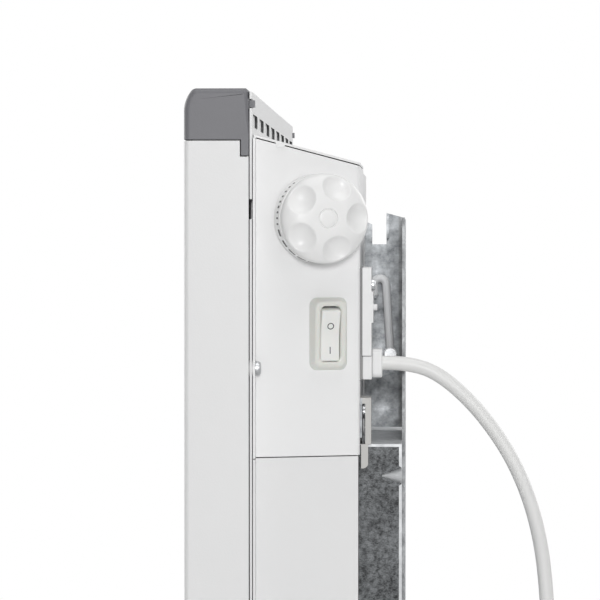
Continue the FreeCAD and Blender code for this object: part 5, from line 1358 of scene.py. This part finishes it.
@dataclass
class MainsLead:
    """White mains lead: it leaves the gland, falls away, and its spare length is wound up and tied.

    Sizes of the lead are in metres, and those of its tie and plug in millimetres.
    """

    x: float = 0.177
    route: tuple[tuple[float, float], ...] = (
        (-0.0102, 0.1063), (0.0037, 0.1063), (0.019, 0.0994), (0.037, 0.0816), (0.0525, 0.0574), (0.0625, 0.027),
        (0.066, -0.010), (0.066, -0.046))
    coil_x: float = 0.1395
    coil_z: float = -0.0526
    coil_r: float = 0.0375
    coil_turns: int = 5
    coil_pitch: float = 0.0074
    points_per_turn: int = 16
    tail_drop: float = 0.046
    tail_shares: tuple[float, ...] = (0.33, 0.66, 1.0)
    diameter: float = 0.0066
    length: float = 1.42
    tie_ease: float = 0.3
    neck_end: tuple[tuple[float, float], ...] = ((0.0, 0.0), (3.4, 0.0), (4.9, -0.1), (5.2, -0.5))
    neck_ring: tuple[tuple[float, float], ...] = ((5.25, 0.5), (4.6, 0.2), (4.6, -0.7), (5.4, -1.0))
    neck_rings: int = 4
    neck_top: float = -2.2
    neck_pitch: float = 2.6
    neck_growth: float = 0.3
    bell: tuple[tuple[float, float], ...] = (
        (6.7, -13.2), (7.2, -14.0), (10.0, -15.6), (14.0, -18.0), (16.4, -21.0), (17.6, -24.5), (18.0, -27.0),
        (18.0, -33.0), (17.5, -33.4), (17.5, -34.4), (18.0, -34.8), (18.0, -46.6), (17.6, -47.6), (16.6, -48.0),
        (0.0, -48.0))
    plug_facets: int = 96
    pin: tuple[tuple[float, float], ...] = (
        (0.0, -48.0), (2.4, -48.0), (2.4, -65.6), (2.1, -66.4), (1.5, -66.9), (0.0, -67.0))
    pin_x: float = 9.5
    pin_facets: int = 32

    def points(self) -> list[Vector]:
        """Gives the control points of the whole lead.

        Returns:
            Points from the gland to the plug.
        """
        points = [Vector((self.x, y, z)) for y, z in self.route]
        hang_y = self.route[-1][0]
        hull_r = self.coil_r / math.cos(math.pi / self.points_per_turn) ** 0.5
        for index in range(self.coil_turns * self.points_per_turn + 1):
            turns = index / self.points_per_turn
            angle = 2.0 * math.pi * turns
            points.append(Vector((self.coil_x + hull_r * math.cos(angle), hang_y - self.coil_pitch * turns,
                                  self.coil_z - hull_r * math.sin(angle))))
        end_y = hang_y - self.coil_turns * self.coil_pitch
        return points + [Vector((self.x, end_y, self.coil_z - self.tail_drop * share)) for share in self.tail_shares]

    def cord(self) -> Piece:
        """Draws the lead as one smooth curve.

        Returns:
            The lead.
        """
        line = bpy.data.curves.new("mains_lead", "CURVE")
        line.dimensions = "3D"
        line.bevel_depth = 0.5 * self.diameter
        line.bevel_resolution = 7
        line.resolution_u = 10
        line.use_fill_caps = True
        spline = line.splines.new("NURBS")
        points = self.points()
        spline.points.add(len(points) - 1)
        for target, point in zip(spline.points, points):
            target.co = (*point, 1.0)
        spline.order_u = 3
        spline.use_endpoint_u = True
        piece = add_object("mains_lead", line)
        dress(piece, PVC)
        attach(piece, Body.HEATER.value)
        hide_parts("power_cord", "cord_coil")
        LOG.info("mains_lead rides on heater, %d points", len(points))
        return piece

    def plug(self) -> Piece:
        """Turns the round plug with its ringed neck.

        Returns:
            The plug's body.
        """
        rings = [(r + self.neck_growth * index, self.neck_top - self.neck_pitch * index + z)
                 for index in range(self.neck_rings) for r, z in self.neck_ring]
        shape = turned([*self.neck_end, *rings, *self.bell], self.plug_facets)
        self.hang(shape)
        return make_piece(shape, "mains_plug_moulded", PVC, Body.HEATER, ["mains_plug"], sharp_deg=42.0)

    def pins(self) -> Piece:
        """Turns the two pins.

        Returns:
            Both pins as one piece.
        """
        group = bmesh.new()
        for x in (-self.pin_x, self.pin_x):
            append_shape(group, turned(list(self.pin), self.pin_facets), Matrix.Translation((x * MM, 0.0, 0.0)))
        self.hang(group)
        return make_piece(group, "plug_pins_turned", BRASS, Body.HEATER, ["plug_pins"], sharp_deg=40.0)

    def hang(self, shape: Shape) -> None:
        """Moves a part of the plug to the end of the lead's tail."""
        bmesh.ops.translate(shape, vec=self.points()[-1], verts=shape.verts)

    def build(self) -> None:
        cord = self.cord()
        tie = eased_copy("cord_tie", DARK_PLASTIC, self.tie_ease)
        pieces = [tie, self.plug(), self.pins()]


# Inside

@dataclass
class InnerWorks:
    """Solids inside the case and small metal parts whose shape is right as it is."""

    finishes: tuple[tuple[str, Finish], ...] = (
        ("thermostat_body", DARK_PLASTIC), ("thermostat_nut", STEEL), ("thermostat_spindle", STEEL),
        ("switch_body", DARK_PLASTIC), ("terminal_block", PALE_PLASTIC), ("terminal_screws", BRASS),
        ("element_body", ALUMINIUM), ("element_rod", STEEL), ("element_terminals", STEEL),
        ("element_bracket_right", GALVANISED), ("element_bracket_left", GALVANISED), ("heat_shield", GALVANISED),
        ("overheat_cutout", DARK_PLASTIC), ("wire_grommet", RUBBER), ("latch_tab_right", GALVANISED),
        ("latch_tab_left", GALVANISED), ("latch_pin_right", ZINC), ("latch_pin_left", ZINC))

    def build(self) -> None:
        """Gives each solid its finish."""
        for node, finish in self.finishes:
            dress(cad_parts[node], finish)
            LOG.info("%s keeps its solid in %s", node, finish.name)


# Studio

def set_up(name: str, data: bpy.types.ID, place: Point, aim: Point) -> Piece:
    """Puts a lamp or a camera in its place and turns it to its aim.

    Args:
        name: Name of the object.
        data: The lamp or camera.
        place: Where it stands.
        aim: Point that it looks at.

    Returns:
        The object that holds it.
    """
    holder = add_object(name, data)
    holder.location = place
    holder.rotation_euler = (Vector(aim) - Vector(place)).to_track_quat("-Z", "Y").to_euler()
    return holder


@dataclass(frozen=True)
class SoftBox:
    """A square studio lamp."""

    name: str
    place: Point
    aim: Point
    size: float
    power: float

    def build(self) -> None:
        """Hangs the lamp."""
        lamp = bpy.data.lights.new(self.name, "AREA")
        lamp.shape = "SQUARE"
        lamp.size = self.size
        lamp.energy = self.power
        set_up(self.name, lamp, self.place, self.aim)


@dataclass
class Studio:
    """Pale floor, white surround, soft lamps and the camera at the heater's right end."""

    floor_z: float = -0.2204
    floor_r: float = 1.3
    surround: float = 0.2
    camera_place: Point = (1.470, 0.0024, 0.168)
    camera_aim: Point = (0.220, -0.0463, 0.1361)
    lens: float = 169.4
    sensor: float = 36.0
    clip: tuple[float, float] = (0.05, 60.0)
    lamps: tuple[SoftBox, ...] = (
        SoftBox("key_lamp", (2.0, 0.1, 0.46), (0.1, 0.0, 0.1), 0.3, 13.4),
        SoftBox("side_lamp", (1.5, 1.1, 0.5), (0.1, 0.0, 0.1), 0.8, 2.4),
        SoftBox("top_lamp", (0.5, 0.2, 1.9), (0.1, 0.0, 0.1), 1.4, 13.5),
        SoftBox("room_lamp", (-1.2, -1.8, 0.6), (0.0, 0.0, 0.05), 1.2, 20.0),
        SoftBox("back_lamp", (-1.4, 1.6, 0.9), (0.0, 0.0, 0.05), 1.2, 13.0))

    def floor(self) -> None:
        """Lays the pale floor."""
        shape = bmesh.new()
        bmesh.ops.create_circle(shape, cap_ends=True, segments=96, radius=self.floor_r)
        bmesh.ops.translate(shape, vec=(0.0, 0.0, self.floor_z), verts=shape.verts)
        floor = add_mesh("studio_floor", shape)
        dress(floor, PAPER)

    def world(self) -> None:
        """Makes the surround white to the eye and in reflections, and softer as light."""
        world = bpy.data.worlds.new("white_surround")
        world.use_nodes = True
        tree = world.node_tree
        tree.nodes.clear()
        path, either, seen, soft, white, mix, out = (tree.nodes.new("ShaderNode" + kind) for kind in (
            "LightPath", "Math", "Math", "Background", "Background", "MixShader", "OutputWorld"))
        either.operation = seen.operation = "MAXIMUM"
        for shade, strength in ((soft, self.surround), (white, 1.0)):
            set_inputs(shade, {"Color": (1.0, 1.0, 1.0, 1.0), "Strength": strength})
        for source, target in ((path.outputs["Is Camera Ray"], either.inputs[0]),
                               (path.outputs["Is Glossy Ray"], either.inputs[1]),
                               (either.outputs["Value"], seen.inputs[0]),
                               (path.outputs["Is Transmission Ray"], seen.inputs[1]),
                               (seen.outputs["Value"], mix.inputs["Fac"]),
                               (soft.outputs["Background"], mix.inputs[1]),
                               (white.outputs["Background"], mix.inputs[2]),
                               (mix.outputs["Shader"], out.inputs["Surface"])):
            tree.links.new(source, target)
        bpy.context.scene.world = world

    def camera(self) -> None:
        """Sets the camera up at the picture's viewing angle."""
        eye = bpy.data.cameras.new("camera")
        eye.lens = self.lens
        eye.sensor_width = self.sensor
        eye.clip_start, eye.clip_end = self.clip
        bpy.context.scene.camera = set_up("camera", eye, self.camera_place, self.camera_aim)

    def build(self) -> None:
        """Sets up floor, surround, lamps, camera and the plain view."""
        self.floor()
        self.world()
        for lamp in self.lamps:
            lamp.build()
        self.camera()
        bpy.context.scene.view_settings.view_transform = "Standard"


def main() -> None:
    """Builds every sub-assembly of the heater and the studio round it."""
    logging.basicConfig(level=logging.INFO, format="%(name)s: %(message)s")
    Studio().build()
    MainsLead().build()
    PaintedSheets().build()
    GreyMouldings().build()
    ThermostatKnob().build()
    RockerSwitch().build()
    MainsEntry().build()
    screws = PanScrews()
    screws.build("cover_screws_driven", "cover_screws", COVER_SEATS)
    screws.build("casing_screws_driven", "casing_screws", CASING_SEATS)
    WallBracket().build()
    LatchLever(right=True).build()
    LatchLever(right=False).build()
    InnerWorks().build()


if __name__ == "__main__":
    main()
